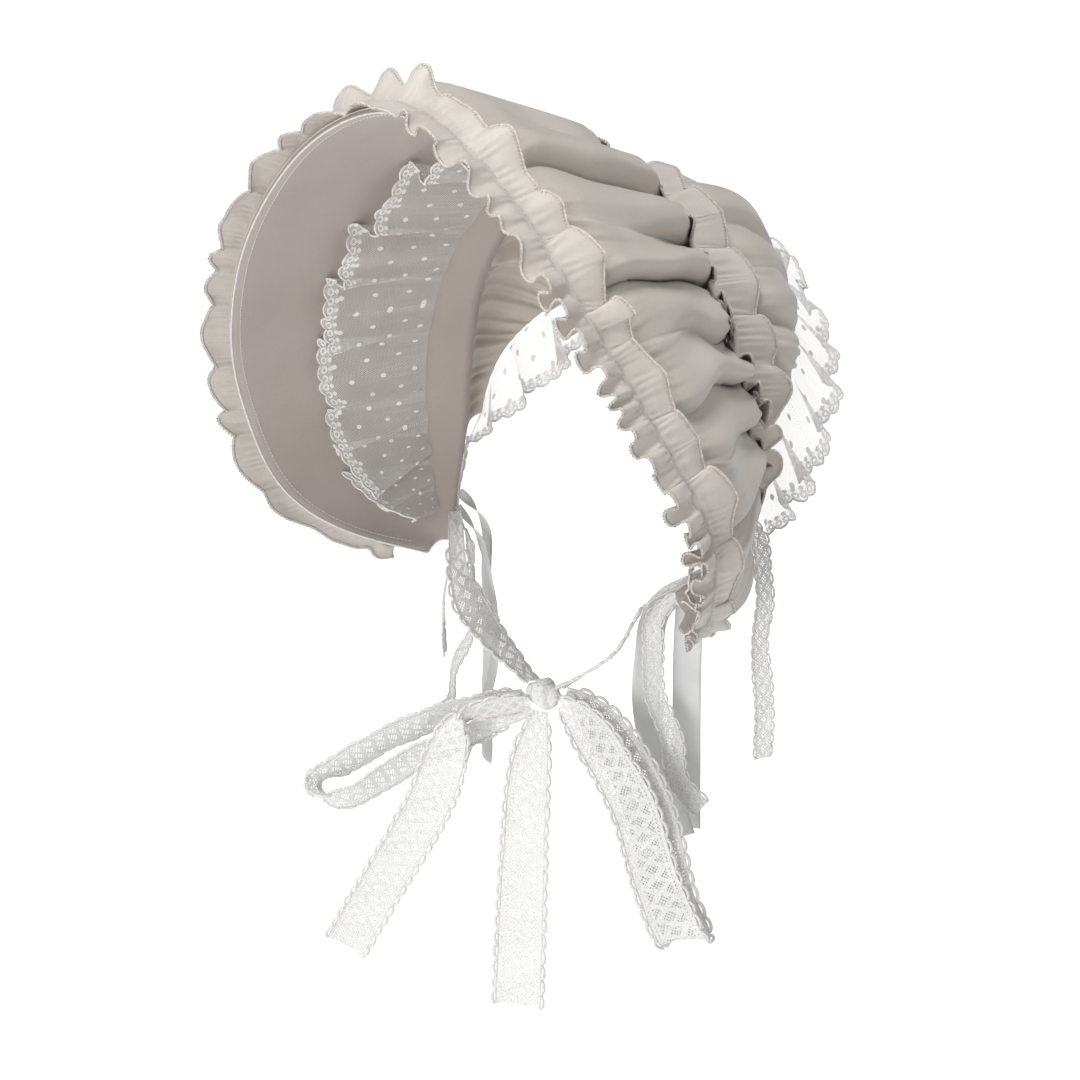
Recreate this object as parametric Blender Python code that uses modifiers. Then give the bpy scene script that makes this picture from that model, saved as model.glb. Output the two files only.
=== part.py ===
# Lolita half bonnet, in metres with +Z up. The wearer faces -Y, and the wearer's left is +X.
# The origin is where the brim's crown edge rests on the top of the head.
# Tables and sizes are in millimetres, and each mesh is placed by HEAD_SEAT and scaled by MM.

import math

import bmesh
import bpy
import numpy as np
from mathutils import Matrix

MM = 0.001
HEAD_SEAT = (0, -3, -7.5)   # the origin in the tables' own millimetres
GAP = 0.4                   # clearance between pieces that touch
CLOTH = 1.2                 # wall of the gathered cloth
RUFFLE_CLOTH = 1.1          # wall of the ruffle strips
LACE = 1.0                  # wall of the tulle frills
RIBBON = 1.0                # wall of the ribbons and lace strips
BRIM_WALL = 2.2             # stiffened brim with its lining
BRIM_BULGE = 5.0            # how far the brim bows outwards between rim and crown seam

# The rim, from its top centre to the left tip.  out, back, up
RIM = (
    (0, -153, 59), (39, -155, 45), (71, -153, 17), (96, -149, -17), (116, -139, -53),
    (131, -125, -90), (138, -108, -129), (129, -95, -166), (107, -73, -191), (80, -41, -206),
)

# The crown seam, from its top centre down beside the cheek.  out, back, up
SEAM = (
    (0, -2, -5), (25, -2, -9), (45, -2, -24), (62, -3, -47), (75, -2, -74), (81, -1, -101),
    (83, -2, -125), (84, -3, -146), (83, -9, -166), (78, -19, -183), (68, -31, -193),
)

# The back panel's rear edge, from the middle of the back to the crown seam.  out, back, up
REAR_EDGE = (
    (0, 108, -52), (35, 98, -63), (60, 76, -82), (75, 55, -98), (82, 35, -110), (85, 18, -128),
    (85, 10, -146),
)

# The lace frill's free edge behind it, in the same order.  out, back, up
FRILL_EDGE = (
    (0, 137, -68), (35, 126, -84), (62, 112, -108), (80, 84, -134), (90, 55, -154), (95, 28, -164),
    (95, 8, -170),
)

# Folds of the brim's cover. A row is the valley that ends a fold, counted from the top centre:
# its place along the rim and along the seam (0 top, 1 tip), and the fold's height.
FOLDS = (
    (0.05, 0.06, 12), (0.14, 0.16, 15), (0.23, 0.25, 13), (0.31, 0.34, 14), (0.40, 0.42, 12),
    (0.48, 0.50, 12), (0.57, 0.59, 12), (0.66, 0.68, 11), (0.76, 0.77, 11), (0.87, 0.87, 12),
    (0.965, 0.965, 8),
)
FOLD_STEPS = 4              # faces across a fold
COVER_PUFF = 2.0            # the cover's height above the brim in a valley
COVER_FLAT = 6.0            # flat strip of cover at the rim, under the ruffle
COVER_RISE = 34.0           # distance over which the folds reach their full height
COVER_FALL = 26.0           # distance over which they fall to the crown seam
COVER_END = 1.4             # the cover's edge in front of the crown seam
COVER_LAYER = 1.3 * CLOTH   # its thickness across a slope
COVER_FRONT = 20.0          # its rows stand this far behind the rim
COVER_REAR = (15.0, 6.0)    # and this far in front of the crown seam
FULL_DEPTH = 70.0           # where the brim is less deep, the folds shrink with it

# Folds of the back panel: the valley's place along the panel (0 middle, 1 end), and the height.
PANEL_FOLDS = (
    (0.07, 7), (0.22, 9), (0.36, 7), (0.50, 9), (0.64, 7), (0.80, 8), (1.00, 5),
)
PANEL_REACH = 0.78          # share of the crown seam that the back panel covers
PANEL_BULGE = 9.0
PANEL_START = 1.6           # the panel's edge behind the crown seam
PANEL_ROWS = (0.0, 0.12, 0.4, 0.72, 1.0)               # from seam to rear edge

# Ruffle strips, gathered on their centre line
RUFFLE_HALF = 17.0          # centre line to either edge
RUFFLE_PITCH = 21.0         # length of one wave
RUFFLE_WAVE = 3.2           # half the height of a wave at the edge
STITCH = 1.0                # half the flat strip under the stitching
RUFFLE_CLEAR = 1.6          # a flange's lowest wave above the cloth under it
RUFFLE_SHARE = 0.3          # the most that a flange takes up of the cloth under it
RIM_INSET = 4.0             # stitching behind the rim
RIM_REACH = 0.95            # share of the rim before the ruffle turns round the tip
RIM_FLARE = 5.0             # how far the rim ruffle's outer edge lifts
CROWN_FRONT = 7.0           # how far the crown ruffle's front flange leans over the cover
CROWN_LIFT = 4.0            # height of its stitching above the crown seam
CROWN_REACH = 0.76          # share of the crown seam that the crown ruffle covers
CROWN_SHARE = 0.4           # the most that its rear flange takes up of the back panel
CROWN_CLEAR = (2.0, 1.0)    # its flanges' lowest waves above the cover and the panel
TIP_WAY = (-0.6, -0.5, -0.62)   # where the rim ruffle points behind the left tip
TIP_PATH = ((0.972, 0.10), (0.992, 0.25), (1.0, 0.42), (1.0, 0.60), (1.0, 0.78))   # its u, v there
TIP_REACH = 11.0            # its width at the last of them
TIP_TURN = 0.15             # share of the turn towards TIP_WAY that it has at the first of them
TIP_SLANT = 0.25            # how much it also leans outwards
TIP_LIFT = 0.6              # extra height of its stitching there
TIP_INSET = 1.5             # and how far inside the tip that runs
TIP_STAND = 3.0             # height of its short rear flange

# Tulle frills
INNER_FRILL_WIDTH = 48.0
INNER_FRILL_FOOT = 26.0     # stitching in front of the crown seam
INNER_FRILL_REACH = 0.91
INNER_FRILL_PLEATS = 13     # on each side
INNER_FRILL_SHARE = (0.5, 0.2)  # the most that its width and foot take up of the brim's depth
INNER_FRILL_LIFT = 2.0      # its free edge above the lining, between pleats
INNER_PLEAT = 9.0           # height of a pleat there
BACK_FRILL_PLEATS = 8       # on each side
BACK_PLEAT = 5.5            # half the height of a pleat at its free edge
BACK_FRILL_SAG = 3.0
BACK_FRILL_ROWS = (0.0, 0.45, 1.0)
BACK_FRILL_ENDS = 0.96      # share of the panel's width where its directions are taken

# The knot under the chin, and the ribbons at it.
KNOT = (13, -63, -251)
KNOT_RADII = (10.0, 7.5, 8.5)
KNOT_CLEAR = 0.55           # from the knot to the middle of a ribbon's wall
KNOT_STEP = 0.1

# Ribbons. A row is the centre line's point, the width there and the way the width points.
# out, back, up, width, then the direction's out, back, up
TIE = (
    (73, -26.8, -186.3, 7, 0.6, -0.5, -0.1), (63, -38, -194, 9, 0.4, -0.9, 0.0),
    (55, -46, -207, 12, 0.4, -0.9, 0.1), (49, -50, -221, 20, 0.3, -0.95, 0.0),
    (39, -53, -233, 18, 0.3, -0.9, 0.2), (26, -59, -244, 10, 0.3, -0.9, 0.3),
)
TIE_CROSSING = (
    (73, -26.8, -186.3, 7, 0.6, -0.5, -0.1), (63, -38, -194, 9, 0.4, -0.9, 0.0),
    (55, -46, -207, 12, 0.4, -0.9, 0.1), (43, -50, -223, 20, 0.3, -0.95, 0.0),
    (24, -54, -236, 18, 0.3, -0.9, 0.2), (0, -59, -246, 10, 0.3, -0.9, 0.3),
)
LOOP_LEFT = (
    (1, -64, -254, 9, 0.2, -0.4, 0.9), (-24, -66, -267, 18, 0.3, -0.5, 0.8),
    (-60, -72, -286, 24, 0.3, -0.6, 0.74), (-87, -80, -304, 24, 0.3, -0.6, 0.74),
    (-108, -86, -321, 24, 0.3, -0.6, 0.74), (-115, -88, -330, 24, 0.3, -0.6, 0.74),
    (-111, -86, -337, 24, 0.3, -0.6, 0.74), (-99, -81, -334, 24, 0.3, -0.6, 0.74),
    (-72, -74, -312, 24, 0.3, -0.6, 0.74), (-42, -70, -291, 18, 0.3, -0.5, 0.8),
    (4, -65, -263, 8, 0.2, -0.4, 0.9),
)
LOOP_RIGHT = (
    (25, -65, -252, 9, 0.5, -0.3, 0.8), (38, -67, -257, 18, 0.6, 0.4, 0.7),
    (60, -70, -274, 23, 0.75, 0.45, 0.5), (76, -72, -293, 24, 0.85, 0.5, 0.1),
    (87, -74, -317, 24, 0.87, 0.48, 0.0), (99, -77, -336, 25, 0.87, 0.48, 0.1),
    (110, -78, -348, 25, 0.85, 0.45, 0.2), (110, -75, -350, 25, 0.85, 0.45, 0.2),
    (101, -71, -340, 25, 0.87, 0.48, 0.1), (90, -67, -318, 24, 0.87, 0.48, 0.0),
    (79, -64, -294, 24, 0.85, 0.5, 0.1), (60, -61, -270, 22, 0.7, 0.5, 0.5),
    (40, -59, -255, 16, 0.6, 0.4, 0.7), (26, -59, -248, 8, 0.5, -0.1, 0.8),
)
TAIL_LEFT = (
    (8, -72, -256, 8, 0.2, -0.3, 0.9), (-5, -80, -258, 14, 0.3, -0.2, 0.9),
    (-17, -88, -264, 13, 0.7, 0.1, 0.7), (-24, -92, -279, 20, 0.9, 0.3, 0.2),
    (-31, -94, -302, 24, 0.9, 0.42, 0.0), (-54, -97, -348, 24, 0.88, 0.42, -0.15),
    (-89, -101, -411, 24, 0.86, 0.42, -0.2),
)
TAIL_MIDDLE = (
    (14, -68, -261, 8, 0.9, 0.2, 0.0), (16, -78, -281, 20, 0.9, 0.4, 0.0),
    (19, -86, -310, 23, 0.9, 0.42, 0.0), (23, -94, -349, 25, 0.9, 0.42, 0.0),
    (25, -100, -406, 26, 0.9, 0.42, 0.05),
)

# The trims that hang at each tip, for the left side; the right side mirrors them.
# Each hangs from the brim's crown edge at a place u.
SIDE_TRIMS = {
    "satin_tail_front": (0.945, (
        (63, -22, -198, 9, 0.8, 0.4, 0.3), (53, -26, -211, 13, 0.8, 0.6, 0.0),
        (50, -26, -227, 14, 0.8, 0.6, 0.0), (48, -26, -256, 14, 0.8, 0.6, 0.0),
        (57, -26, -292, 14, 0.8, 0.6, 0.0), (71, -26, -327, 14, 0.8, 0.6, 0.0),
    )),
    "satin_tail_rear": (0.91, (
        (67, -13, -194, 12, 0.85, 0.5, 0.0), (64, -13, -215, 14, 0.85, 0.5, 0.0),
        (64, -13, -279, 14, 0.85, 0.5, 0.0), (65, -13, -329, 14, 0.85, 0.5, 0.0),
    )),
    "lace_tail_front": (0.975, (
        (64, -28, -199, 6, 0.8, 0.5, 0.3), (58, -33, -208, 9, 0.8, 0.6, 0.0),
        (57, -33, -221, 10, 0.8, 0.6, 0.0), (60, -33, -253, 10, 0.8, 0.6, 0.0),
        (69, -33, -269, 11, 0.8, 0.6, 0.1), (73, -33, -290, 11, 0.8, 0.6, 0.0),
        (88, -33, -303, 11, 0.75, 0.6, 0.3),
    )),
    "lace_tail_rear": (0.80, (
        (92, 3, -168, 9, 0.3, 0.9, 0.0), (95, 4, -184, 9, 0.5, 0.85, 0.0),
        (98, 2, -202, 10, 0.4, 0.9, 0.0), (97, 0, -220, 10, 0.4, 0.9, 0.0),
        (101, -2, -243, 10, 0.6, 0.8, 0.0), (102, -2, -283, 10, 0.5, 0.85, 0.0),
    )),
}
TRIM_START = 1.0            # how far behind the crown edge a trim starts
TRIM_TOP = 4.5              # a trim's width there
RIBBON_STEP = 12.0          # length of one face along a ribbon

COLOURS = {
    "lining": (0.40, 0.36, 0.35),
    "cloth": (0.62, 0.59, 0.56),
    "ruffle": (0.72, 0.69, 0.67),
    "tulle": (0.80, 0.80, 0.78),
    "cotton lace": (0.87, 0.87, 0.85),
    "satin": (0.62, 0.63, 0.64),
}
ROUGHNESS = {
    "lining": 0.75, "cloth": 0.6, "ruffle": 0.5, "tulle": 0.8, "cotton lace": 0.85, "satin": 0.35,
}


# Curves

def smooth_line(rows, steps=40):
    """Points along the natural cubic spline through rows, whose first three columns are places."""
    knots = np.array(rows, float)
    gaps = np.linalg.norm(np.diff(knots[:, :3], axis=0), axis=1)
    count = len(knots)
    matrix = np.eye(count)
    right = np.zeros_like(knots)
    for i in range(1, count - 1):
        matrix[i, i - 1:i + 2] = gaps[i - 1], 2 * (gaps[i - 1] + gaps[i]), gaps[i]
        slope_after = (knots[i + 1] - knots[i]) / gaps[i]
        slope_before = (knots[i] - knots[i - 1]) / gaps[i - 1]
        right[i] = 6 * (slope_after - slope_before)
    bend = np.linalg.solve(matrix, right)
    points = []
    for i, gap in enumerate(gaps):
        for t in np.linspace(0, 1, steps, endpoint=False):
            s = 1 - t
            points.append(s * knots[i] + t * knots[i + 1]
                          + ((s ** 3 - s) * bend[i] + (t ** 3 - t) * bend[i + 1]) * gap ** 2 / 6)
    points.append(knots[-1])
    return np.array(points)


def whole(rows):
    """A half row table, made whole: from the right end over the middle to the left end."""
    half = np.array(rows, float)
    return smooth_line(np.concatenate([half[:0:-1] * (-1, 1, 1), half]))


def along(line, fraction):
    """Points of a line at fractions of its length."""
    at = np.concatenate([[0.0], np.cumsum(np.linalg.norm(np.diff(line[:, :3], axis=0), axis=1))])
    place = np.asarray(fraction, float) * at[-1]
    return np.stack([np.interp(place, at, line[:, k]) for k in range(line.shape[1])], axis=-1)


def unit(vectors):
    return vectors / np.linalg.norm(vectors, axis=-1, keepdims=True)


RIM_LINE, SEAM_LINE = whole(RIM), whole(SEAM)
REAR_LINE, FRILL_LINE = whole(REAR_EDGE), whole(FRILL_EDGE)


# Surfaces. u runs from -1 at the right tip over 0 at the top to 1 at the left tip.

def ruled(u, v):
    """The flat brim: v is 0 at the rim and 1 at the crown seam."""
    rim, seam = along(RIM_LINE, (u + 1) / 2), along(SEAM_LINE, (u + 1) / 2)
    return rim + (seam - rim) * v[..., None]


def frame_of(surface, u, v, step=0.012):
    """Unit directions along u, along v and outwards."""
    ahead, behind = np.clip(u + step, -1, 1), np.clip(u - step, -1, 1)
    along_u = unit(surface(ahead, v) - surface(behind, v))
    along_v = unit(surface(u, v + step) - surface(u, v - step))
    return along_u, along_v, unit(np.cross(along_u, along_v))


def brim_surface(u, v):
    """The brim's outer face."""
    outward = frame_of(ruled, u, v)[2]
    bulge = BRIM_BULGE * np.sin(math.pi * np.clip(v, 0, 1))
    return ruled(u, v) + outward * bulge[..., None]


def depth_at(u):
    """The brim's depth from rim to crown seam."""
    zeros = np.zeros_like(u)
    return np.linalg.norm(ruled(u, zeros + 1) - ruled(u, zeros), axis=-1)


def shrink(u):
    """How much the cover's folds are reduced where the brim is less deep than usual."""
    return np.minimum(1, depth_at(u) / FULL_DEPTH)


def cover_swell(u, v):
    """How much of their full height the cover's folds have between rim and seam."""
    size = depth_at(u) / shrink(u)
    rise = np.sin(math.pi / 2 * np.clip((v * size - COVER_FLAT) / COVER_RISE, 0, 1))
    fall = np.sin(math.pi / 2 * np.clip((1 - v) * size / COVER_FALL, 0, 1))
    return rise * fall * shrink(u)


def fold_heights(u):
    """Height of the cover's fold at each place along the rim."""
    ends = np.array([row[0] for row in FOLDS])
    heights = np.array([row[2] for row in FOLDS], float)
    near = [np.clip(np.searchsorted(ends, np.abs(u) + d), 0, len(FOLDS) - 1) for d in (-0.02, 0.02)]
    return np.maximum(heights[near[0]], heights[near[1]])


def cover_top(u, v):
    """Height above the brim that clears the cover everywhere."""
    return GAP + (COVER_PUFF + fold_heights(u)) * cover_swell(u, v) + 1.5 * CLOTH


def panel_swell(w):
    return np.sin(math.pi * np.clip(w, 0, 1))


def panel_length(u):
    seam = along(SEAM_LINE, (u * PANEL_REACH + 1) / 2)
    return np.linalg.norm(along(REAR_LINE, (u + 1) / 2) - seam, axis=-1)


def panel_surface(u, w):
    """The back panel without its folds: w is 0 at the crown seam and 1 at the rear edge."""
    seam = along(SEAM_LINE, (u * PANEL_REACH + 1) / 2)
    rear = along(REAR_LINE, (u + 1) / 2)
    forward = unit(rear - seam)
    sideways = unit(along(SEAM_LINE, np.clip((u * PANEL_REACH + 1.02) / 2, 0, 1)) - seam)
    outward = unit(np.cross(sideways, forward))
    bulge = PANEL_BULGE * panel_swell(w) * np.clip(2.2 - 2 * np.abs(u), 0, 1)
    start = seam + forward * PANEL_START
    return start + (rear - start) * w[..., None] + outward * bulge[..., None]


# Meshes

def material(name):
    found = bpy.data.materials.get(name)
    if found is None:
        found = bpy.data.materials.new(name)
        found.use_nodes = True
        shader = found.node_tree.nodes["Principled BSDF"]
        shader.inputs["Base Color"].default_value = (*COLOURS[name], 1)
        shader.inputs["Roughness"].default_value = ROUGHNESS[name]
        shader.inputs["Metallic"].default_value = 0
    return found


def add_mesh(name, points, faces, finish):
    mesh = bpy.data.meshes.new(name)
    mesh.from_pydata(((np.asarray(points) - HEAD_SEAT) * MM).tolist(), [], faces)
    mesh.shade_smooth()
    mesh.materials.append(material(finish))
    piece = bpy.data.objects.new(name, mesh)
    BONNET.objects.link(piece)
    piece.parent = ORIGIN
    return piece


def cloth_wall(name, grid, thickness, side, finish):
    """A wall over a grid of points, thickened outwards (side 1), inwards (-1) or both ways (0)."""
    rows, columns = grid.shape[:2]
    faces = []
    for i in range(rows - 1):
        for j in range(columns - 1):
            a = i * columns + j
            faces.append((a, a + columns, a + columns + 1, a + 1))
    piece = add_mesh(name, grid.reshape(-1, 3), faces, finish)
    wall = piece.modifiers.new("wall", "SOLIDIFY")
    wall.thickness = thickness * MM
    wall.offset = side
    return piece


# Pieces

def make_brim():
    u = np.linspace(-1, 1, 49)[:, None] * np.ones(5)
    v = np.linspace(0, 1, 5) * np.ones((49, 1))
    cloth_wall("brim", brim_surface(u, v), BRIM_WALL, -1, "lining")


def fold_columns(table):
    """Valleys and fold heights over the whole width, from a table for one half."""
    ends = [row[:-1] for row in table]
    heights = [row[-1] for row in table]
    valleys = [tuple(-x for x in end) for end in reversed(ends)] + ends
    return valleys, heights[:0:-1] + heights


def folded_columns(table, steps):
    """Places (u at the start, u at the end) and heights of each column of a folded sheet."""
    valleys, heights = fold_columns(table)
    columns = []
    for before, after, height in zip(valleys, valleys[1:], heights):
        for t in np.arange(steps) / steps:
            place = [a + (b - a) * t for a, b in zip(before, after)]
            columns.append((place[0], place[-1], height * math.sin(math.pi * t) ** 0.75))
    columns.append((valleys[-1][0], valleys[-1][-1], 0.0))
    return (np.array(column)[:, None] for column in zip(*columns))


def make_brim_cover():
    at_rim, at_seam, height = folded_columns(FOLDS, FOLD_STEPS)
    size = depth_at(at_rim) / shrink(at_rim)
    front = np.array([0, COVER_FLAT, COVER_FRONT]) / size
    rear = 1 - np.array([*COVER_REAR, COVER_END]) / size
    v = np.hstack([front, (front[:, 2:] + rear[:, :1]) / 2, rear])
    u = at_rim + (at_seam - at_rim) * v
    outward = frame_of(brim_surface, u, v)[2]
    lift = GAP + (COVER_PUFF + height) * cover_swell(u, v)
    cloth_wall("brim_cover", brim_surface(u, v) + outward * lift[..., None], CLOTH, 1, "cloth")


def make_back_panel():
    u, _, height = folded_columns(PANEL_FOLDS, FOLD_STEPS)
    w = np.array(PANEL_ROWS) * np.ones_like(u)
    u = u * np.ones_like(w)
    lift = height * panel_swell(w) * np.minimum(1, panel_length(u) / FULL_DEPTH)
    outward = frame_of(panel_surface, u, w)[2]
    cloth_wall("back_panel", panel_surface(u, w) + outward * lift[..., None], CLOTH, 1, "cloth")


def mirrored_wall(name, columns, thickness, side, finish):
    """A wall from columns of points, each of them from the top to the left end, and its mirror."""
    half = np.stack(columns, axis=1)
    cloth_wall(name, np.concatenate([half[:0:-1] * (-1, 1, 1), half]), thickness, side, finish)


def waves(count):
    return RUFFLE_WAVE * math.sqrt(2) * np.sin(np.arange(count) * math.pi / 2 + math.pi / 4)


def make_rim_ruffle():
    """Along the rim, round the tip, and up its short end."""
    rim_half = np.linalg.norm(np.diff(RIM_LINE, axis=0), axis=1).sum() / 2
    u = np.linspace(0, RIM_REACH, round(rim_half * RIM_REACH / RUFFLE_PITCH * 4))
    wave = waves(len(u) + len(TIP_PATH))
    depth = depth_at(u)
    inset = RIM_INSET * shrink(u)
    base = GAP + COVER_LAYER + GAP + 1 - shrink(u)

    def place(distance, lift):
        v = distance / depth
        return brim_surface(u, v) + frame_of(brim_surface, u, v)[2] * lift[:, None]

    reach = np.minimum(RUFFLE_HALF, RUFFLE_SHARE * depth)
    top = cover_top(u, (inset + reach) / depth)
    columns = [
        place(inset - RUFFLE_HALF, base + RIM_FLARE + wave[:len(u)]),
        place(inset - STITCH, base),
        place(inset + STITCH, base),
        place(inset + reach, top + RUFFLE_CLEAR + RUFFLE_WAVE + wave[:len(u)]),
    ]
    tip_u, v = np.array(TIP_PATH).T
    along_u, along_v, outward = frame_of(brim_surface, tip_u, v)
    share = np.linspace(TIP_TURN, 1, len(TIP_PATH))[:, None]
    way = unit(-along_v * (1 - share) + np.array(TIP_WAY) * share + outward * TIP_SLANT)
    foot = brim_surface(tip_u, v) + outward * (base[-1] + TIP_LIFT) - along_u * TIP_INSET * share
    tip_wave = outward * wave[len(u):, None]
    tip_reach = RUFFLE_HALF + (TIP_REACH - RUFFLE_HALF) * share
    tip = [foot + way * tip_reach + tip_wave, foot + way * STITCH, foot - way * STITCH,
           foot - way * STITCH * 2 + outward * TIP_STAND]
    mirrored_wall("rim_ruffle", [np.concatenate(pair) for pair in zip(columns, tip)],
                  RUFFLE_CLOTH, 1, "ruffle")


def make_crown_ruffle():
    """Over the crown seam, its front flange on the cover and its rear one on the back panel."""
    seam_half = np.linalg.norm(np.diff(SEAM_LINE, axis=0), axis=1).sum() / 2
    u = np.linspace(0, CROWN_REACH, round(seam_half * CROWN_REACH / RUFFLE_PITCH * 4))
    wave = waves(len(u))
    flat = np.ones_like(u)
    side = np.clip(u / PANEL_REACH, 0, 1)
    base = GAP + CROWN_LIFT

    brim_normal = frame_of(brim_surface, u, flat)[2]

    def place(surface, at, across, lift):
        return surface(at, across) + brim_normal * lift[:, None]

    front = 1 - CROWN_FRONT / depth_at(u)
    reach = np.minimum(RUFFLE_HALF, CROWN_SHARE * panel_length(side))
    rear = reach / panel_length(side)
    panel_top = max(height for _, height in PANEL_FOLDS) * panel_swell(rear) + COVER_LAYER
    front_lift = cover_top(u, front) + CROWN_CLEAR[0] + RUFFLE_WAVE + wave
    mirrored_wall("crown_ruffle", [
        place(brim_surface, u, front, front_lift),
        place(brim_surface, u, 1 - 2 * STITCH / depth_at(u), base * flat),
        place(brim_surface, u, flat, base * flat),
        place(panel_surface, side, rear, panel_top + CROWN_CLEAR[1] + RUFFLE_WAVE + wave),
    ], RUFFLE_CLOTH, 1, "ruffle")


def make_back_lace_frill():
    """Its foot lies just inside the back panel's rear edge."""
    u = np.linspace(-1, 1, BACK_FRILL_PLEATS * 2 * 4 + 1)
    foot, edge = along(REAR_LINE, (u + 1) / 2), along(FRILL_LINE, (u + 1) / 2)
    normal = frame_of(panel_surface, u * BACK_FRILL_ENDS, np.ones_like(u))[2]
    foot = foot - normal * (GAP + LACE)
    wave = np.sin(np.arange(len(u)) * math.pi / 2)
    rows = []
    for share in BACK_FRILL_ROWS:
        lift = BACK_PLEAT * share * wave - BACK_FRILL_SAG * math.sin(math.pi * share)
        rows.append(foot + (edge - foot) * share + normal * lift[:, None])
    cloth_wall("back_lace_frill", np.stack(rows, axis=1), LACE, 0, "tulle")


def make_inner_lace_frill():
    u = np.linspace(-1, 1, INNER_FRILL_PLEATS * 2 * 4 + 1) * INNER_FRILL_REACH
    depth = depth_at(u)
    width = np.minimum(INNER_FRILL_WIDTH, INNER_FRILL_SHARE[0] * depth)
    foot = 1 - np.minimum(INNER_FRILL_FOOT, INNER_FRILL_SHARE[1] * depth) / depth
    wave = (np.sin(np.arange(len(u)) * math.pi / 2) + 1) / 2
    rows = []
    for share in (0.0, 0.5, 1.0):
        v = foot - share * width / depth
        outward = frame_of(brim_surface, u, v)[2]
        lift = BRIM_WALL + GAP + LACE + share * (INNER_FRILL_LIFT + INNER_PLEAT * wave)
        rows.append(brim_surface(u, v) - outward * lift[:, None])
    cloth_wall("inner_lace_frill", np.stack(rows, axis=1), LACE, 0, "tulle")


def make_ribbon(name, rows, finish):
    line = smooth_line(rows)
    length = np.linalg.norm(np.diff(line[:, :3], axis=0), axis=1).sum()
    stations = along(line, np.linspace(0, 1, max(4, round(length / RIBBON_STEP)) + 1))
    half = unit(stations[:, 4:7]) * stations[:, 3:4] / 2
    grid = np.stack([stations[:, :3] - half, stations[:, :3] + half], axis=1)
    cloth_wall(name, grid, RIBBON, 0, finish)


def edge_start(u, width):
    """The first row of a trim that hangs from the brim's crown edge."""
    at, rear = np.array([u]), np.ones(1)
    along_u, along_v, outward = (way[0] for way in frame_of(brim_surface, at, rear))
    point = brim_surface(at, rear)[0] + along_v * TRIM_START - outward * BRIM_WALL / 2
    return (*point, width, *(along_u * math.copysign(1, along_u[0])))


def at_knot(row):
    """The row with its point moved to the knot's side, where the ribbon comes out of it."""
    way = unit(np.array(row[:3], float) - KNOT)
    edge = unit(np.array(row[4:7])) * row[3] / 2 * np.linspace(-1, 1, 9)[:, None]
    reach = 0.0
    while np.linalg.norm((way * reach + edge) / (np.array(KNOT_RADII) + KNOT_CLEAR), axis=1).min() < 1:
        reach += KNOT_STEP
    return (*(KNOT + way * reach), *row[3:])


def mirror(rows):
    return [(-x, y, z, width, -a, b, c) for x, y, z, width, a, b, c in rows]


def make_ties():
    make_ribbon("chin_tie_left", [*TIE[:-1], at_knot(TIE[-1])], "cotton lace")
    crossing = mirror(TIE_CROSSING)
    make_ribbon("chin_tie_right", [*crossing[:-1], at_knot(crossing[-1])], "cotton lace")


def make_side_trims():
    for trim, (place, rows) in SIDE_TRIMS.items():
        finish = "satin" if trim.startswith("satin") else "cotton lace"
        start = edge_start(place, TRIM_TOP)
        make_ribbon(trim + "_left", [start, *rows], finish)
        make_ribbon(trim + "_right", mirror([start, *rows]), finish)


def make_bow():
    for name, rows in (("bow_loop_left", LOOP_LEFT), ("bow_loop_right", LOOP_RIGHT)):
        make_ribbon(name, [at_knot(rows[0]), *rows[1:-1], at_knot(rows[-1])], "cotton lace")
    for name, rows in (("bow_tail_left", TAIL_LEFT), ("bow_tail_right", TAIL_MIDDLE)):
        make_ribbon(name, [at_knot(rows[0]), *rows[1:]], "cotton lace")
    ball = bmesh.new()
    bmesh.ops.create_uvsphere(
        ball, u_segments=14, v_segments=8, radius=MM, matrix=Matrix.Diagonal((*KNOT_RADII, 1)))
    mesh = bpy.data.meshes.new("bow_knot")
    ball.to_mesh(mesh)
    ball.free()
    mesh.shade_smooth()
    mesh.materials.append(material("cotton lace"))
    knot = bpy.data.objects.new("bow_knot", mesh)
    knot.location = (np.array(KNOT) - HEAD_SEAT) * MM
    BONNET.objects.link(knot)
    knot.parent = ORIGIN


for leftover in list(bpy.data.objects):
    bpy.data.objects.remove(leftover)
BONNET = bpy.data.collections.new("lolita_bonnet")
bpy.context.scene.collection.children.link(BONNET)
ORIGIN = bpy.data.objects.new("head_seat", None)
BONNET.objects.link(ORIGIN)

make_brim()
make_brim_cover()
make_rim_ruffle()
make_crown_ruffle()
make_back_panel()
make_back_lace_frill()
make_inner_lace_frill()
make_ties()
make_side_trims()
make_bow()
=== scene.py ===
import math
from functools import partial, reduce

import bmesh
import bpy
import numpy as np
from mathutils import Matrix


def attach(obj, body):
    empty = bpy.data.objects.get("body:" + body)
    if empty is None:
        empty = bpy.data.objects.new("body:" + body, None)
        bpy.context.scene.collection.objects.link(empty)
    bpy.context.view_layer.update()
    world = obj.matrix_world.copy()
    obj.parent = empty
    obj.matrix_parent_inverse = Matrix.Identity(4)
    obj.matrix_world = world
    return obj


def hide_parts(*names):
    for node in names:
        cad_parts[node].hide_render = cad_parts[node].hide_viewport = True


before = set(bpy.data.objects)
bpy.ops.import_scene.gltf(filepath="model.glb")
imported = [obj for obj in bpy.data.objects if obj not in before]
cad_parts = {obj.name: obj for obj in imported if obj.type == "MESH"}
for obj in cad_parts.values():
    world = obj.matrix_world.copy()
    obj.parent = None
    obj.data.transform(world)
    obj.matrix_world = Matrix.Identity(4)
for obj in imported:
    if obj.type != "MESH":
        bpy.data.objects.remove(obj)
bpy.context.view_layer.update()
coarse = 1.0

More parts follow.
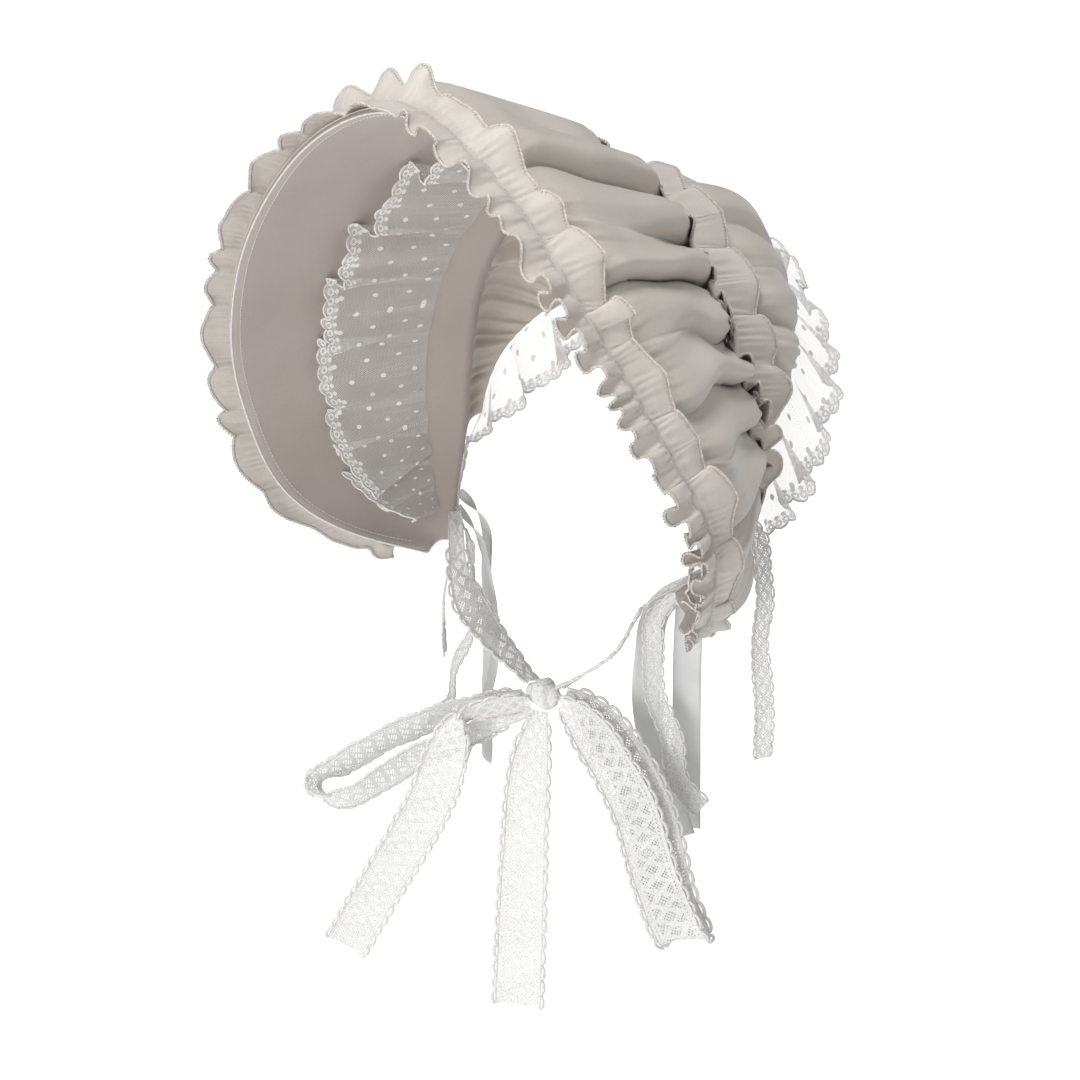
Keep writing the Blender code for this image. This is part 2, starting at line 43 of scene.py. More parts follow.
mm = 0.001
shape = {
    "headSeat": (0, -3, -7.5),  # the frame's origin in the tables
    "gap": 0.4,
    "brimWall": 2.2,
    "brimBulge": 5.0,
    "fullDepth": 70.0,          # where the brim is less deep, folds shrink with it
    "panelReach": 0.78,         # share of the crown seam under the back panel
    "panelBulge": 9.0,
    "panelStart": 1.6,
    "rimHalf": 384,             # half the length of the rim, for places along the cloth
    "panelHalf": 200,
    "brimDeep": 140,
}
rimTable = (                    # from the top centre to the left tip: out, back, up
    (0, -153, 59), (39, -155, 45), (71, -153, 17), (96, -149, -17), (116, -139, -53),
    (131, -125, -90), (138, -108, -129), (129, -95, -166), (107, -73, -191), (80, -41, -206),
)
seamTable = (
    (0, -2, -5), (25, -2, -9), (45, -2, -24), (62, -3, -47), (75, -2, -74), (81, -1, -101),
    (83, -2, -125), (84, -3, -146), (83, -9, -166), (78, -19, -183), (68, -31, -193),
)
rearTable = (
    (0, 108, -52), (35, 98, -63), (60, 76, -82), (75, 55, -98), (82, 35, -110), (85, 18, -128),
    (85, 10, -146),
)
frillTable = (
    (0, 137, -68), (35, 126, -84), (62, 112, -108), (80, 84, -134), (90, 55, -154), (95, 28, -164),
    (95, 8, -170),
)


# Curves and surfaces

def spline(knots, values, at):
    # natural cubic spline through values at knots
    knots, values, at = (np.asarray(x, float) for x in (knots, values, at))
    gaps = np.diff(knots)
    count = len(knots)
    matrix = np.eye(count)
    right = np.zeros_like(values)
    for i in range(1, count - 1):
        matrix[i, i - 1:i + 2] = gaps[i - 1], 2 * (gaps[i - 1] + gaps[i]), gaps[i]
        right[i] = 6 * ((values[i + 1] - values[i]) / gaps[i] - (values[i] - values[i - 1]) / gaps[i - 1])
    bend = np.linalg.solve(matrix, right)
    i = np.clip(np.searchsorted(knots, at, side="right") - 1, 0, count - 2)
    gap = gaps[i][:, None]
    t = ((at - knots[i]) / gaps[i])[:, None]
    s = 1 - t
    return (s * values[i] + t * values[i + 1]
            + ((s ** 3 - s) * bend[i] + (t ** 3 - t) * bend[i + 1]) * gap ** 2 / 6)


def lengthsOf(points):
    return np.concatenate([[0.0], np.cumsum(np.linalg.norm(np.diff(points[:, :3], axis=0), axis=1))])


def smoothLine(rows, steps=40):
    rows = np.asarray(rows, float)
    at = lengthsOf(rows)
    fine = np.concatenate([np.linspace(a, b, steps, endpoint=False) for a, b in zip(at, at[1:])])
    return spline(at, rows, np.append(fine, at[-1]))


def whole(rows):
    half = np.array(rows, float)
    return smoothLine(np.concatenate([half[:0:-1] * (-1, 1, 1), half]))


def along(line, fraction):
    at = lengthsOf(line)
    place = np.asarray(fraction, float) * at[-1]
    return np.stack([np.interp(place, at, line[:, k]) for k in range(line.shape[1])], axis=-1)


def unit(vectors):
    return vectors / np.maximum(np.linalg.norm(vectors, axis=-1, keepdims=True), 1e-12)


rimLine, seamLine = whole(rimTable), whole(seamTable)
rearLine, frillLine = whole(rearTable), whole(frillTable)


def ruled(u, v):
    # u: -1 right tip, 0 top, 1 left tip; v: 0 rim, 1 crown seam
    rim, seam = along(rimLine, (u + 1) / 2), along(seamLine, (u + 1) / 2)
    return rim + (seam - rim) * v[..., None]


def frameOf(surface, u, v, step=0.012):
    ahead, behind = np.clip(u + step, -1, 1), np.clip(u - step, -1, 1)
    alongU = unit(surface(ahead, v) - surface(behind, v))
    alongV = unit(surface(u, v + step) - surface(u, v - step))
    return alongU, alongV, unit(np.cross(alongU, alongV))


def brimSurface(u, v):
    bulge = shape["brimBulge"] * np.sin(math.pi * np.clip(v, 0, 1))
    return ruled(u, v) + frameOf(ruled, u, v)[2] * bulge[..., None]


def depthAt(u):
    zeros = np.zeros_like(u)
    return np.linalg.norm(ruled(u, zeros + 1) - ruled(u, zeros), axis=-1)


def shrink(u):
    return np.minimum(1, depthAt(u) / shape["fullDepth"])


def panelLength(u):
    seam = along(seamLine, (u * shape["panelReach"] + 1) / 2)
    return np.linalg.norm(along(rearLine, (u + 1) / 2) - seam, axis=-1)


def panelSurface(u, w):
    seam = along(seamLine, (u * shape["panelReach"] + 1) / 2)
    rear = along(rearLine, (u + 1) / 2)
    forward = unit(rear - seam)
    sideways = unit(along(seamLine, np.clip((u * shape["panelReach"] + 1.02) / 2, 0, 1)) - seam)
    outward = unit(np.cross(sideways, forward))
    bulge = shape["panelBulge"] * np.sin(math.pi * np.clip(w, 0, 1)) * np.clip(2.2 - 2 * np.abs(u), 0, 1)
    start = seam + forward * shape["panelStart"]
    return start + (rear - start) * w[..., None] + outward * bulge[..., None]


def raised(surface, u, v, lift):
    # places lifted off a surface, and the outward way there
    outward = frameOf(surface, u, v)[2]
    return surface(u, v) + outward * np.broadcast_to(lift, u.shape)[..., None], outward


def eased(t):
    return t * t * (3 - 2 * t)


def wander(place, spacing, seed):
    # smooth random values from -1 to 1
    count = 997
    values = np.random.default_rng(seed).uniform(-1, 1, count)
    cell = np.floor(np.asarray(place) / spacing)
    t = eased(np.asarray(place) / spacing - cell)
    cell = cell.astype(int)
    return values[cell % count] * (1 - t) + values[(cell + 1) % count] * t


def wanderOver(x, y, spacing, seed):
    count = 131
    values = np.random.default_rng(seed).uniform(-1, 1, (count, count))
    cellX, cellY = np.floor(x / spacing), np.floor(y / spacing)
    s, t = eased(x / spacing - cellX), eased(y / spacing - cellY)
    i, j = cellX.astype(int), cellY.astype(int)
    low, high = (values[i % count, k % count] * (1 - s) + values[(i + 1) % count, k % count] * s
                 for k in (j, j + 1))
    return low * (1 - t) + high * t


# Node helpers

floatKind = "NodeSocketFloat"


def fill(tree, socket, value):
    # a link where value is another node's output, or else the plain value
    if hasattr(value, "is_output"):
        tree.links.new(value, socket)
    else:
        socket.default_value = value


def calc(tree, operation, *values):
    node = tree.nodes.new("ShaderNodeMath")
    node.operation = operation
    for socket, value in zip(node.inputs, values):
        fill(tree, socket, value)
    return node.outputs[0]


def ramp(tree, value, fromMin, fromMax, toMin=0.0, toMax=1.0):
    node = tree.nodes.new("ShaderNodeMapRange")
    node.interpolation_type = "SMOOTHSTEP"
    for name, amount in (("Value", value), ("From Min", fromMin), ("From Max", fromMax),
                         ("To Min", toMin), ("To Max", toMax)):
        fill(tree, node.inputs[name], amount)
    return node.outputs["Result"]


def newGroup(name, output, **amounts):
    # a shader group, fed with places in metres and with amounts
    tree = bpy.data.node_groups.new(name, "ShaderNodeTree")
    tree.interface.new_socket("Places", in_out="INPUT", socket_type="NodeSocketVector")
    for title, value in amounts.items():
        tree.interface.new_socket(title, in_out="INPUT", socket_type=floatKind).default_value = value
    tree.interface.new_socket(output, in_out="OUTPUT", socket_type=floatKind)
    given = tree.nodes.new("NodeGroupInput").outputs
    result = tree.nodes.new("NodeGroupOutput").inputs[output]
    return tree, given, result, partial(calc, tree)


def useGroup(tree, group, **values):
    node = tree.nodes.new("ShaderNodeGroup")
    node.node_tree = group
    for title, value in values.items():
        fill(tree, node.inputs[title], value)
    return node.outputs[0]


def splitPlaces(tree, places):
    node = tree.nodes.new("ShaderNodeSeparateXYZ")
    tree.links.new(places, node.inputs[0])
    return node.outputs[0], node.outputs[1]


def most(do, *values):
    return reduce(partial(do, "MAXIMUM"), values)


def apart(do, value, middle):
    return do("ABSOLUTE", do("SUBTRACT", value, middle))


def distance(do, a, b):
    return do("SQRT", do("ADD", do("POWER", a, 2.0), do("POWER", b, 2.0)))


def centred(do, place, shift, size):
    # place within its repeat, counted from the middle
    return do("SUBTRACT", do("FLOORED_MODULO", do("ADD", place, shift), size), size / 2)


def makeWeaveGroup():
    # plain weave: threads over and under
    tree, given, result, do = newGroup("plainWeave", "Height", Thread=0.0004)
    turns = [do("SINE", do("DIVIDE", do("MULTIPLY", place, math.pi), given["Thread"]))
             for place in splitPlaces(tree, given["Places"])]
    tree.links.new(do("MULTIPLY_ADD", do("MULTIPLY", *turns), 0.5, 0.5), result)
    return tree


def makeMottleGroup():
    # slow changes of tone, as cloth has
    tree, given, result, do = newGroup("softMottle", "Tone", Size=0.03, Detail=4.0)
    noise = tree.nodes.new("ShaderNodeTexNoise")
    fill(tree, noise.inputs["Vector"], given["Places"])
    fill(tree, noise.inputs["Scale"], do("DIVIDE", 1.0, given["Size"]))
    fill(tree, noise.inputs["Detail"], given["Detail"])
    tree.links.new(noise.outputs["Fac"], result)
    return tree


def makeNetGroup():
    # hexagonal net of fine threads
    tree, given, result, do = newGroup("hexNet", "Mask", Cell=0.001, Thread=0.2)
    x, y = (do("DIVIDE", place, given["Cell"]) for place in splitPlaces(tree, given["Places"]))
    tall = math.sqrt(3)
    distances = []
    for shift in (0.0, 0.5):
        a = do("ABSOLUTE", centred(do, x, shift, 1.0))
        b = do("ABSOLUTE", centred(do, y, shift * tall, tall))
        slant = do("MULTIPLY_ADD", b, tall / 2, do("MULTIPLY", a, 0.5))
        distances.append(do("MAXIMUM", a, slant))
    start = do("SUBTRACT", 0.5, given["Thread"])
    tree.links.new(ramp(tree, do("MINIMUM", *distances), start, do("ADD", start, 0.06)), result)
    return tree


def makeDotGroup():
    # staggered oval dots
    tree, given, result, do = newGroup("ovalDots", "Mask", Spacing=0.012, Radius=0.11)
    x, y = (do("DIVIDE", place, given["Spacing"]) for place in splitPlaces(tree, given["Places"]))
    inner = do("MULTIPLY", given["Radius"], 0.7)
    masks = []
    for shift in (0.0, 0.5):
        b = do("MULTIPLY", centred(do, y, shift, 1.0), 0.72)
        masks.append(ramp(tree, distance(do, centred(do, x, shift, 1.0), b), given["Radius"], inner))
    tree.links.new(most(do, *masks), result)
    return tree


def makeRingGroup():
    # a row of small embroidered rings beside a scalloped edge, which lies at y = 0
    tree, given, result, do = newGroup("edgeRings", "Mask", Pitch=0.008, Inset=0.004, Radius=0.0016,
                                       Line=0.0006)
    x, y = splitPlaces(tree, given["Places"])
    a = do("SUBTRACT", do("FLOORED_MODULO", x, given["Pitch"]), do("MULTIPLY", given["Pitch"], 0.5))
    away = distance(do, a, do("SUBTRACT", y, given["Inset"]))
    tree.links.new(ramp(tree, apart(do, away, given["Radius"]), given["Line"],
                        do("MULTIPLY", given["Line"], 0.5)), result)
    return tree


def makeTorchonGroup():
    # bobbin lace: diamond net, crossing braids, dense borders
    tree, given, result, do = newGroup("bobbinLace", "Mask",
                                       **{"Half Width": 0.012, "Repeat": 0.0084, "Net": 0.0021})
    x, y = splitPlaces(tree, given["Places"])
    across = do("DIVIDE", y, given["Half Width"])
    swing = do("MULTIPLY_ADD", do("DIVIDE", do("PINGPONG", x, given["Repeat"]), given["Repeat"]), 1.3, -0.65)
    masks = []
    for way in ("ADD", "SUBTRACT"):
        slant = do("DIVIDE", do(way, x, y), given["Net"])
        masks.append(ramp(tree, apart(do, do("FRACT", slant), 0.5), 0.20, 0.27))
        masks.append(ramp(tree, do("ABSOLUTE", do(way, across, swing)), 0.26, 0.20))
    edge = do("ABSOLUTE", across)
    border = ramp(tree, apart(do, edge, 0.77), 0.09, 0.06)
    fan = do("FRACT", do("DIVIDE", x, do("MULTIPLY", given["Repeat"], 0.125)))
    spokes = do("MULTIPLY", ramp(tree, apart(do, fan, 0.5), 0.22, 0.14), ramp(tree, edge, 0.8, 0.84))
    hem = ramp(tree, edge, 0.93, 0.95)
    tree.links.new(most(do, *masks, border, spokes, hem), result)
    return tree


weave, mottle, net, dots = makeWeaveGroup(), makeMottleGroup(), makeNetGroup(), makeDotGroup()
rings, torchon = makeRingGroup(), makeTorchonGroup()

finishes = {                    # light and dark tone, roughness, sheen
    "lining": ((0.46, 0.41, 0.38), (0.415, 0.365, 0.335), 0.85, 0.2),
    "cloth": ((0.635, 0.585, 0.53), (0.555, 0.505, 0.45), 0.36, 0.3),
    "ruffle": ((0.64, 0.595, 0.55), (0.565, 0.52, 0.475), 0.38, 0.3),
    "serging": ((0.68, 0.635, 0.58), (0.50, 0.455, 0.40), 0.75, 0.1),
    "whiteThread": ((0.84, 0.835, 0.82), (0.70, 0.69, 0.67), 0.7, 0.1),
    "tulle": ((0.97, 0.955, 0.935), (0.90, 0.88, 0.855), 0.7, 0.1),
    "cottonLace": ((0.89, 0.89, 0.875), (0.64, 0.64, 0.625), 0.85, 0.1),
    "satin": ((0.80, 0.805, 0.80), (0.72, 0.725, 0.72), 0.3, 0.1),
}


def startMaterial(name):
    made = bpy.data.materials.new(name)
    made.use_nodes = True
    tree = made.node_tree
    shader = tree.nodes["Principled BSDF"].inputs
    rough, sheen = finishes[name][2:]
    for title, value in (("Roughness", rough), ("Sheen Weight", sheen), ("Sheen Roughness", 0.5),
                         ("Specular IOR Level", 0.45)):
        shader[title].default_value = value
    places = tree.nodes.new("ShaderNodeUVMap").outputs[0]
    body = tree.nodes.new("ShaderNodeTexCoord").outputs["Object"]
    return made, tree, shader, places, partial(useGroup, tree, mottle, Places=body), partial(calc, tree)


def setTone(tree, shader, name, tone):
    mix = tree.nodes.new("ShaderNodeMix")
    mix.data_type = "RGBA"
    ends = [s for s in mix.inputs if s.type == "RGBA"]
    for socket, colour in zip(ends, (finishes[name][1], finishes[name][0])):
        socket.default_value = (*colour, 1)
    fill(tree, mix.inputs["Factor"], tone)
    tree.links.new([s for s in mix.outputs if s.type == "RGBA"][0], shader["Base Color"])


def setBump(tree, shader, height, distance):
    bump = tree.nodes.new("ShaderNodeBump")
    bump.inputs["Distance"].default_value = distance
    bump.inputs["Strength"].default_value = 1.0
    fill(tree, bump.inputs["Height"], height)
    tree.links.new(bump.outputs[0], shader["Normal"])


def clothMaterial(name, thread, relief):
    made, tree, shader, places, tones, do = startMaterial(name)
    tone, fine = tones(Size=0.035), tones(Size=0.0016, Detail=2.0)
    setTone(tree, shader, name, ramp(tree, do("MULTIPLY_ADD", fine, 0.35, tone), 0.35, 1.0))
    threads = do("MULTIPLY", useGroup(tree, weave, Places=places, Thread=thread), 0.6)
    setBump(tree, shader, do("MULTIPLY_ADD", fine, 0.8, threads), relief)
    rough = finishes[name][2]
    fill(tree, shader["Roughness"], ramp(tree, tone, 0.2, 0.8, rough - 0.06, rough + 0.08))
    return made


def threadMaterial(name):
    made, tree, shader, _, tones, _ = startMaterial(name)
    tone = tones(Size=0.0012, Detail=2.0)
    setTone(tree, shader, name, ramp(tree, tone, 0.3, 0.7))
    setBump(tree, shader, tone, 0.00015)
    return made


def tulleMaterial():
    made, tree, shader, places, tones, do = startMaterial("tulle")
    netMask = useGroup(tree, net, Places=places, Cell=0.001, Thread=0.17)
    dotMask = useGroup(tree, dots, Places=places, Spacing=0.021, Radius=0.08)
    outer = useGroup(tree, rings, Places=places, Pitch=0.0048, Inset=0.0042, Radius=0.0015, Line=0.0009)
    inner = useGroup(tree, rings, Places=places, Pitch=0.0048, Inset=0.0080, Radius=0.0007, Line=0.0010)
    y = splitPlaces(tree, places)[1]
    full = most(do, outer, inner, dotMask, ramp(tree, y, 0.0020, 0.0014))
    veil = ramp(tree, y, 0.0095, 0.0080, 0.0, 0.42)
    fill(tree, shader["Alpha"], most(do, full, veil, do("MULTIPLY", netMask, 0.9)))
    setTone(tree, shader, "tulle", ramp(tree, tones(Size=0.02), 0.3, 0.7))
    setBump(tree, shader, do("MAXIMUM", full, do("MULTIPLY", netMask, 0.4)), 0.0004)
    return made


def laceMaterial(name, halfWidth, repeat, netSize, holes=True):
    made, tree, shader, places, tones, do = startMaterial("cottonLace")
    made.name = name
    mask = useGroup(tree, torchon, Places=places, Repeat=repeat, Net=netSize, **{"Half Width": halfWidth})
    fibre = tones(Size=0.0007, Detail=2.0)
    if holes:
        fill(tree, shader["Alpha"], ramp(tree, mask, 0.35, 0.6))
    setTone(tree, shader, "cottonLace", ramp(tree, fibre, 0.25, 0.6))
    setBump(tree, shader, do("MULTIPLY_ADD", fibre, 0.5, mask), 0.0003)
    return made


def satinMaterial():
    made, tree, shader, places, tones, do = startMaterial("satin")
    ribSpacing = 0.0005
    ribs = do("SINE", do("MULTIPLY", splitPlaces(tree, places)[0], 2 * math.pi / ribSpacing))
    setTone(tree, shader, "satin", ramp(tree, tones(Size=0.02), 0.3, 0.7))
    setBump(tree, shader, ribs, 0.00004)
    shader["Coat Weight"].default_value = 0.15
    shader["Anisotropic"].default_value = 0.5
    return made


materials = {
    "lining": clothMaterial("lining", 0.00045, 0.00008),
    "cloth": clothMaterial("cloth", 0.0003, 0.00007),
    "ruffle": clothMaterial("ruffle", 0.0003, 0.00007),
    "serging": threadMaterial("serging"),
    "whiteThread": threadMaterial("whiteThread"),
    "tulle": tulleMaterial(),
    "wideLace": laceMaterial("wideLace", 0.0098, 0.0081, 0.0019),
    "narrowLace": laceMaterial("narrowLace", 0.0038, 0.008, 0.0017),
    "knottedLace": laceMaterial("knottedLace", 0.0098, 0.0081, 0.0019, holes=False),
    "satin": satinMaterial(),
}
print("materials made")


# Meshes

def inMetres(points):
    return (np.asarray(points, float) - shape["headSeat"]) * mm


def addObject(name, data):
    made = bpy.data.objects.new(name, data)
    bpy.context.scene.collection.objects.link(made)
    return made


def meshPiece(name, points, quads, uv, finish):
    mesh = bpy.data.meshes.new(name)
    mesh.from_pydata(inMetres(points).tolist(), [], np.asarray(quads).tolist())
    layer = mesh.uv_layers.new(name="UVMap")
    corners = np.empty(len(mesh.loops), np.int32)
    mesh.loops.foreach_get("vertex_index", corners)
    layer.data.foreach_set("uv", (np.asarray(uv) * mm)[corners].ravel())
    mesh.shade_smooth()
    mesh.materials.append(materials[finish])
    return addObject(name, mesh)


def closeHoles(piece, sides):
    # caps on the open ends
    work = bmesh.new()
    work.from_mesh(piece.data)
    bmesh.ops.holes_fill(work, edges=[e for e in work.edges if e.is_boundary], sides=sides)
    bmesh.ops.recalc_face_normals(work, faces=work.faces)
    work.to_mesh(piece.data)
    work.free()


def flatGrid(rows):
    # one row for each point, from numbers along and across that fit together
    return np.stack(np.broadcast_arrays(*rows), axis=-1).reshape(-1, len(rows))


def ringsAround(path, up, radius, sides):
    # the points of a round rod along a path, and their angles
    tangent = unit(np.gradient(path, axis=0))
    side = unit(np.cross(tangent, up))
    up = np.cross(side, tangent)
    angles = np.arange(sides) * 2 * math.pi / sides
    spokes = side[:, None] * np.cos(angles)[None, :, None] + up[:, None] * np.sin(angles)[None, :, None]
    return (path[:, None] + radius * spokes).reshape(-1, 3), angles


def gridQuads(rows, columns, closed=False):
    i, j = np.meshgrid(np.arange(rows - 1), np.arange(columns if closed else columns - 1), indexing="ij")
    a = (i * columns + j).ravel()
    b = (i * columns + (j + 1) % columns).ravel()
    return np.stack([a, a + columns, b + columns, b], axis=1)


def gridNormals(grid):
    return unit(np.cross(np.gradient(grid, axis=0), np.gradient(grid, axis=1)))


def sheetPiece(name, grid, uv, finish, thickness=0.0, side=0.0):
    # one layer, or a closed wall; side 1 thickens outwards, -1 inwards, 0 both ways
    rows, columns = grid.shape[:2]
    quads = gridQuads(rows, columns)
    if not thickness:
        return meshPiece(name, grid.reshape(-1, 3), quads, uv.reshape(-1, 2), finish)
    normals = gridNormals(grid)
    outer = grid + normals * thickness * (0.5 + side / 2)
    inner = grid - normals * thickness * (0.5 - side / 2)
    count = rows * columns
    index = np.arange(count).reshape(rows, columns)
    loop = np.concatenate([index[0, :-1], index[:-1, -1], index[-1, :0:-1], index[:0:-1, 0]])
    after = np.roll(loop, -1)
    band = np.stack([loop, after, after + count, loop + count], axis=1)
    points = np.concatenate([outer.reshape(-1, 3), inner.reshape(-1, 3)])
    faces = np.concatenate([quads, quads[:, ::-1] + count, band])
    return meshPiece(name, points, faces, np.concatenate([uv.reshape(-1, 2)] * 2), finish)


def tubePiece(name, path, up, radius, finish, sides=6):
    points, angles = ringsAround(path, up, radius, sides)
    uv = flatGrid((lengthsOf(path)[:, None], angles * radius))
    piece = meshPiece(name, points, gridQuads(len(path), sides, closed=True), uv, finish)
    closeHoles(piece, sides)
    return piece


def join(name, pieces):
    # several meshes made one
    work = bmesh.new()
    for piece in pieces:
        work.from_mesh(piece.data)
    mesh = bpy.data.meshes.new(name)
    work.to_mesh(mesh)
    work.free()
    mesh.materials.append(pieces[0].data.materials[0])
    for piece in pieces:
        bpy.data.objects.remove(piece)
    return addObject(name, mesh)


def dress(piece, slot, *nodes, trims=()):
    # a piece and its trims ride the root body; the piece replaces the named CAD nodes
    for item in (piece, *trims):
        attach(item, "root")
    if nodes:
        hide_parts(*nodes)


# Repeats along a line, by Geometry Nodes

def makeRepeatTree():
    tree = bpy.data.node_groups.new("repeatAlongLine", "GeometryNodeTree")
    for title, kind, value in (
        ("Line", "NodeSocketGeometry", None), ("Shape", "NodeSocketObject", None),
        ("Spacing", floatKind, 0.003), ("Turn", floatKind, 0.0), ("Turn Jitter", floatKind, 0.0),
        ("Size Jitter", floatKind, 0.0), ("Seed", "NodeSocketInt", 1), ("Finish", "NodeSocketMaterial", None),
    ):
        socket = tree.interface.new_socket(title, in_out="INPUT", socket_type=kind)
        if value is not None:
            socket.default_value = value
    tree.interface.new_socket("Geometry", in_out="OUTPUT", socket_type="NodeSocketGeometry")
    given = tree.nodes.new("NodeGroupInput").outputs
    result = tree.nodes.new("NodeGroupOutput").inputs

    def node(kind, feeds, output=0, **settings):
        made = tree.nodes.new(kind)
        for title, value in settings.items():
            setattr(made, title, value)
        for title, value in feeds.items():
            fill(tree, made.inputs[title], value)
        return made.outputs[output]

    def jitter(amount, offset):
        # a random number from -amount to amount; sockets 2 and 3 are the least and the most
        seed = calc(tree, "ADD", given["Seed"], float(offset))
        return calc(tree, "MULTIPLY", node("FunctionNodeRandomValue", {2: -1.0, 3: 1.0, "Seed": seed}, 1,
                                           data_type="FLOAT"), amount)

    curve = node("GeometryNodeMeshToCurve", {0: given["Line"]})
    places = node("GeometryNodeResampleCurve", {"Curve": curve, "Length": given["Spacing"]}, mode="LENGTH")
    up = node("GeometryNodeInputNamedAttribute", {"Name": "up"}, "Attribute", data_type="FLOAT_VECTOR")
    ahead = node("FunctionNodeAlignRotationToVector",
                 {"Vector": node("GeometryNodeInputTangent", {})}, axis="X")
    upright = node("FunctionNodeAlignRotationToVector", {"Rotation": ahead, "Vector": up}, axis="Z",
                   pivot_axis="X")
    angle = calc(tree, "ADD", given["Turn"], jitter(given["Turn Jitter"], 0))
    turned = node("FunctionNodeAxisAngleToRotation", {"Axis": (0, 0, 1), "Angle": angle})
    rotation = node("FunctionNodeRotateRotation", {"Rotation": upright, "Rotate By": turned},
                    rotation_space="LOCAL")
    copied = node("GeometryNodeObjectInfo", {"Object": given["Shape"]}, "Geometry")
    size = calc(tree, "ADD", 1.0, jitter(given["Size Jitter"], 7))
    copies = node("GeometryNodeInstanceOnPoints",
                  {"Points": places, "Instance": copied, "Rotation": rotation, "Scale": size})
    real = node("GeometryNodeRealizeInstances", {0: copies})
    painted = node("GeometryNodeSetMaterial", {"Geometry": real, "Material": given["Finish"]})
    tree.links.new(painted, result["Geometry"])
    return tree


repeatTree = makeRepeatTree()


def tubeShape(name, path, radius, sides):
    # a small bent rod in millimetres, as one repeated shape
    path = np.asarray(path, float)
    upright = np.abs(unit(np.gradient(path, axis=0))[:, 2]) > 0.95
    up = np.where(upright[:, None], (0, 1.0, 0), (0, 0, 1.0))
    points = ringsAround(path, up, radius, sides)[0]
    mesh = bpy.data.meshes.new(name)
    caps = [list(range(sides)), list(range(len(points) - 1, len(points) - sides - 1, -1))]
    quads = gridQuads(len(path), sides, closed=True)[:, ::-1].tolist()
    mesh.from_pydata((points * mm).tolist(), [], quads + caps)
    mesh.shade_smooth()
    return addObject(name, mesh)


def repeatPiece(name, lines, shapeObject, finish, spacing, turn=0.0, turnJitter=0.0, sizeJitter=0.0, seed=1):
    # lines: pairs of points and up directions, in millimetres
    points = np.concatenate([inMetres(line) for line, _ in lines])
    ups = np.concatenate([np.asarray(up, float) for _, up in lines])
    edges, start = [], 0
    for line, _ in lines:
        edges += [(start + k, start + k + 1) for k in range(len(line) - 1)]
        start += len(line)
    mesh = bpy.data.meshes.new(name)
    mesh.from_pydata(points.tolist(), edges, [])
    mesh.attributes.new("up", "FLOAT_VECTOR", "POINT").data.foreach_set("vector", ups.ravel())
    piece = addObject(name, mesh)
    modifier = piece.modifiers.new("repeat", "NODES")
    modifier.node_group = repeatTree
    values = {"Shape": shapeObject, "Spacing": spacing * mm, "Turn": turn, "Turn Jitter": turnJitter,
              "Size Jitter": sizeJitter, "Seed": seed, "Finish": materials[finish]}
    for item in repeatTree.interface.items_tree:
        if item.in_out == "INPUT" and item.name in values:
            modifier[item.identifier] = values[item.name]
    result = bpy.data.meshes.new_from_object(piece.evaluated_get(bpy.context.evaluated_depsgraph_get()))
    piece.modifiers.clear()
    piece.data = result
    return piece


def arc(radiusX, radiusY, steps):
    angles = np.linspace(0, math.pi, steps)
    return np.stack([np.cos(angles) * radiusX, np.sin(angles) * radiusY, np.zeros(steps)], axis=1)


# Repeated shapes
stitchShape = tubeShape("stitchShape", [(-0.62, 0, -0.12), (-0.3, 0, 0.1), (0.3, 0, 0.1), (0.62, 0, -0.12)],
                        0.19, 5)
overlockShape = tubeShape("overlockShape", [(-0.4, -1.5, 0.15), (-0.15, -0.5, 0.42), (0.1, 0.45, 0.45),
                                            (0.2, 0.8, -0.1), (0.1, 0.3, -0.5), (-0.2, -1.4, -0.35)], 0.2, 4)
wideArch = tubeShape("wideArch", arc(3.75, 1.8, 13), 0.85, 6)
narrowArch = tubeShape("narrowArch", arc(3.0, 1.3, 11), 0.62, 5)
beadShape = tubeShape("beadShape", arc(0.6, 0.8, 6), 0.33, 4)


# Brim with its lining

brimLook = {
    "columns": 300, "rows": 26, "bindingRadius": 0.5, "bindingOut": 0.4, "bindingIn": 0.35,
    "stitchInset": 4.2, "stitchSpacing": 2.1, "stitchReach": 0.965, "stitchLift": 0.06,
    "tipSteps": 20, "rimSteps": 500, "stitchSteps": 700,
}


def makeBrim():
    look, wall = brimLook, shape["brimWall"]
    columns = int(look["columns"] * coarse)
    u = np.linspace(-1, 1, columns)[:, None] * np.ones(look["rows"])
    v = np.linspace(0, 1, look["rows"]) * np.ones((columns, 1))
    uv = np.stack([u * shape["rimHalf"], v * shape["brimDeep"]], axis=-1)
    dress(sheetPiece("brimLining", brimSurface(u, v), uv, "lining", wall, -1), "lining", "brim")

    # bound edge along the rim and round each tip
    tipV, tipU = np.linspace(0.02, 0.9, look["tipSteps"]), np.ones(look["tipSteps"])
    edgeU = np.concatenate([-tipU, np.linspace(-1, 1, look["rimSteps"]), tipU])
    edgeV = np.concatenate([tipV[::-1], np.zeros(look["rimSteps"]), tipV])
    alongU, alongV, outward = frameOf(brimSurface, edgeU, edgeV)
    out = np.where((edgeV > 0.01)[:, None], alongU * np.sign(edgeU)[:, None], -alongV)
    path = brimSurface(edgeU, edgeV) - outward * (wall - look["bindingIn"]) + out * look["bindingOut"]
    dress(tubePiece("rimBinding", path, outward, look["bindingRadius"], "whiteThread"), "lining")

    # top stitching inside the edge
    stitchU = np.linspace(-1, 1, look["stitchSteps"]) * look["stitchReach"]
    stitchV = look["stitchInset"] / depthAt(stitchU)
    path, outward = raised(brimSurface, stitchU, stitchV, -wall - look["stitchLift"])
    dress(repeatPiece("liningStitches", [(path, -outward)], stitchShape, "whiteThread",
                      look["stitchSpacing"], sizeJitter=0.08, turnJitter=0.06), "lining")


# Gathered cover of the brim

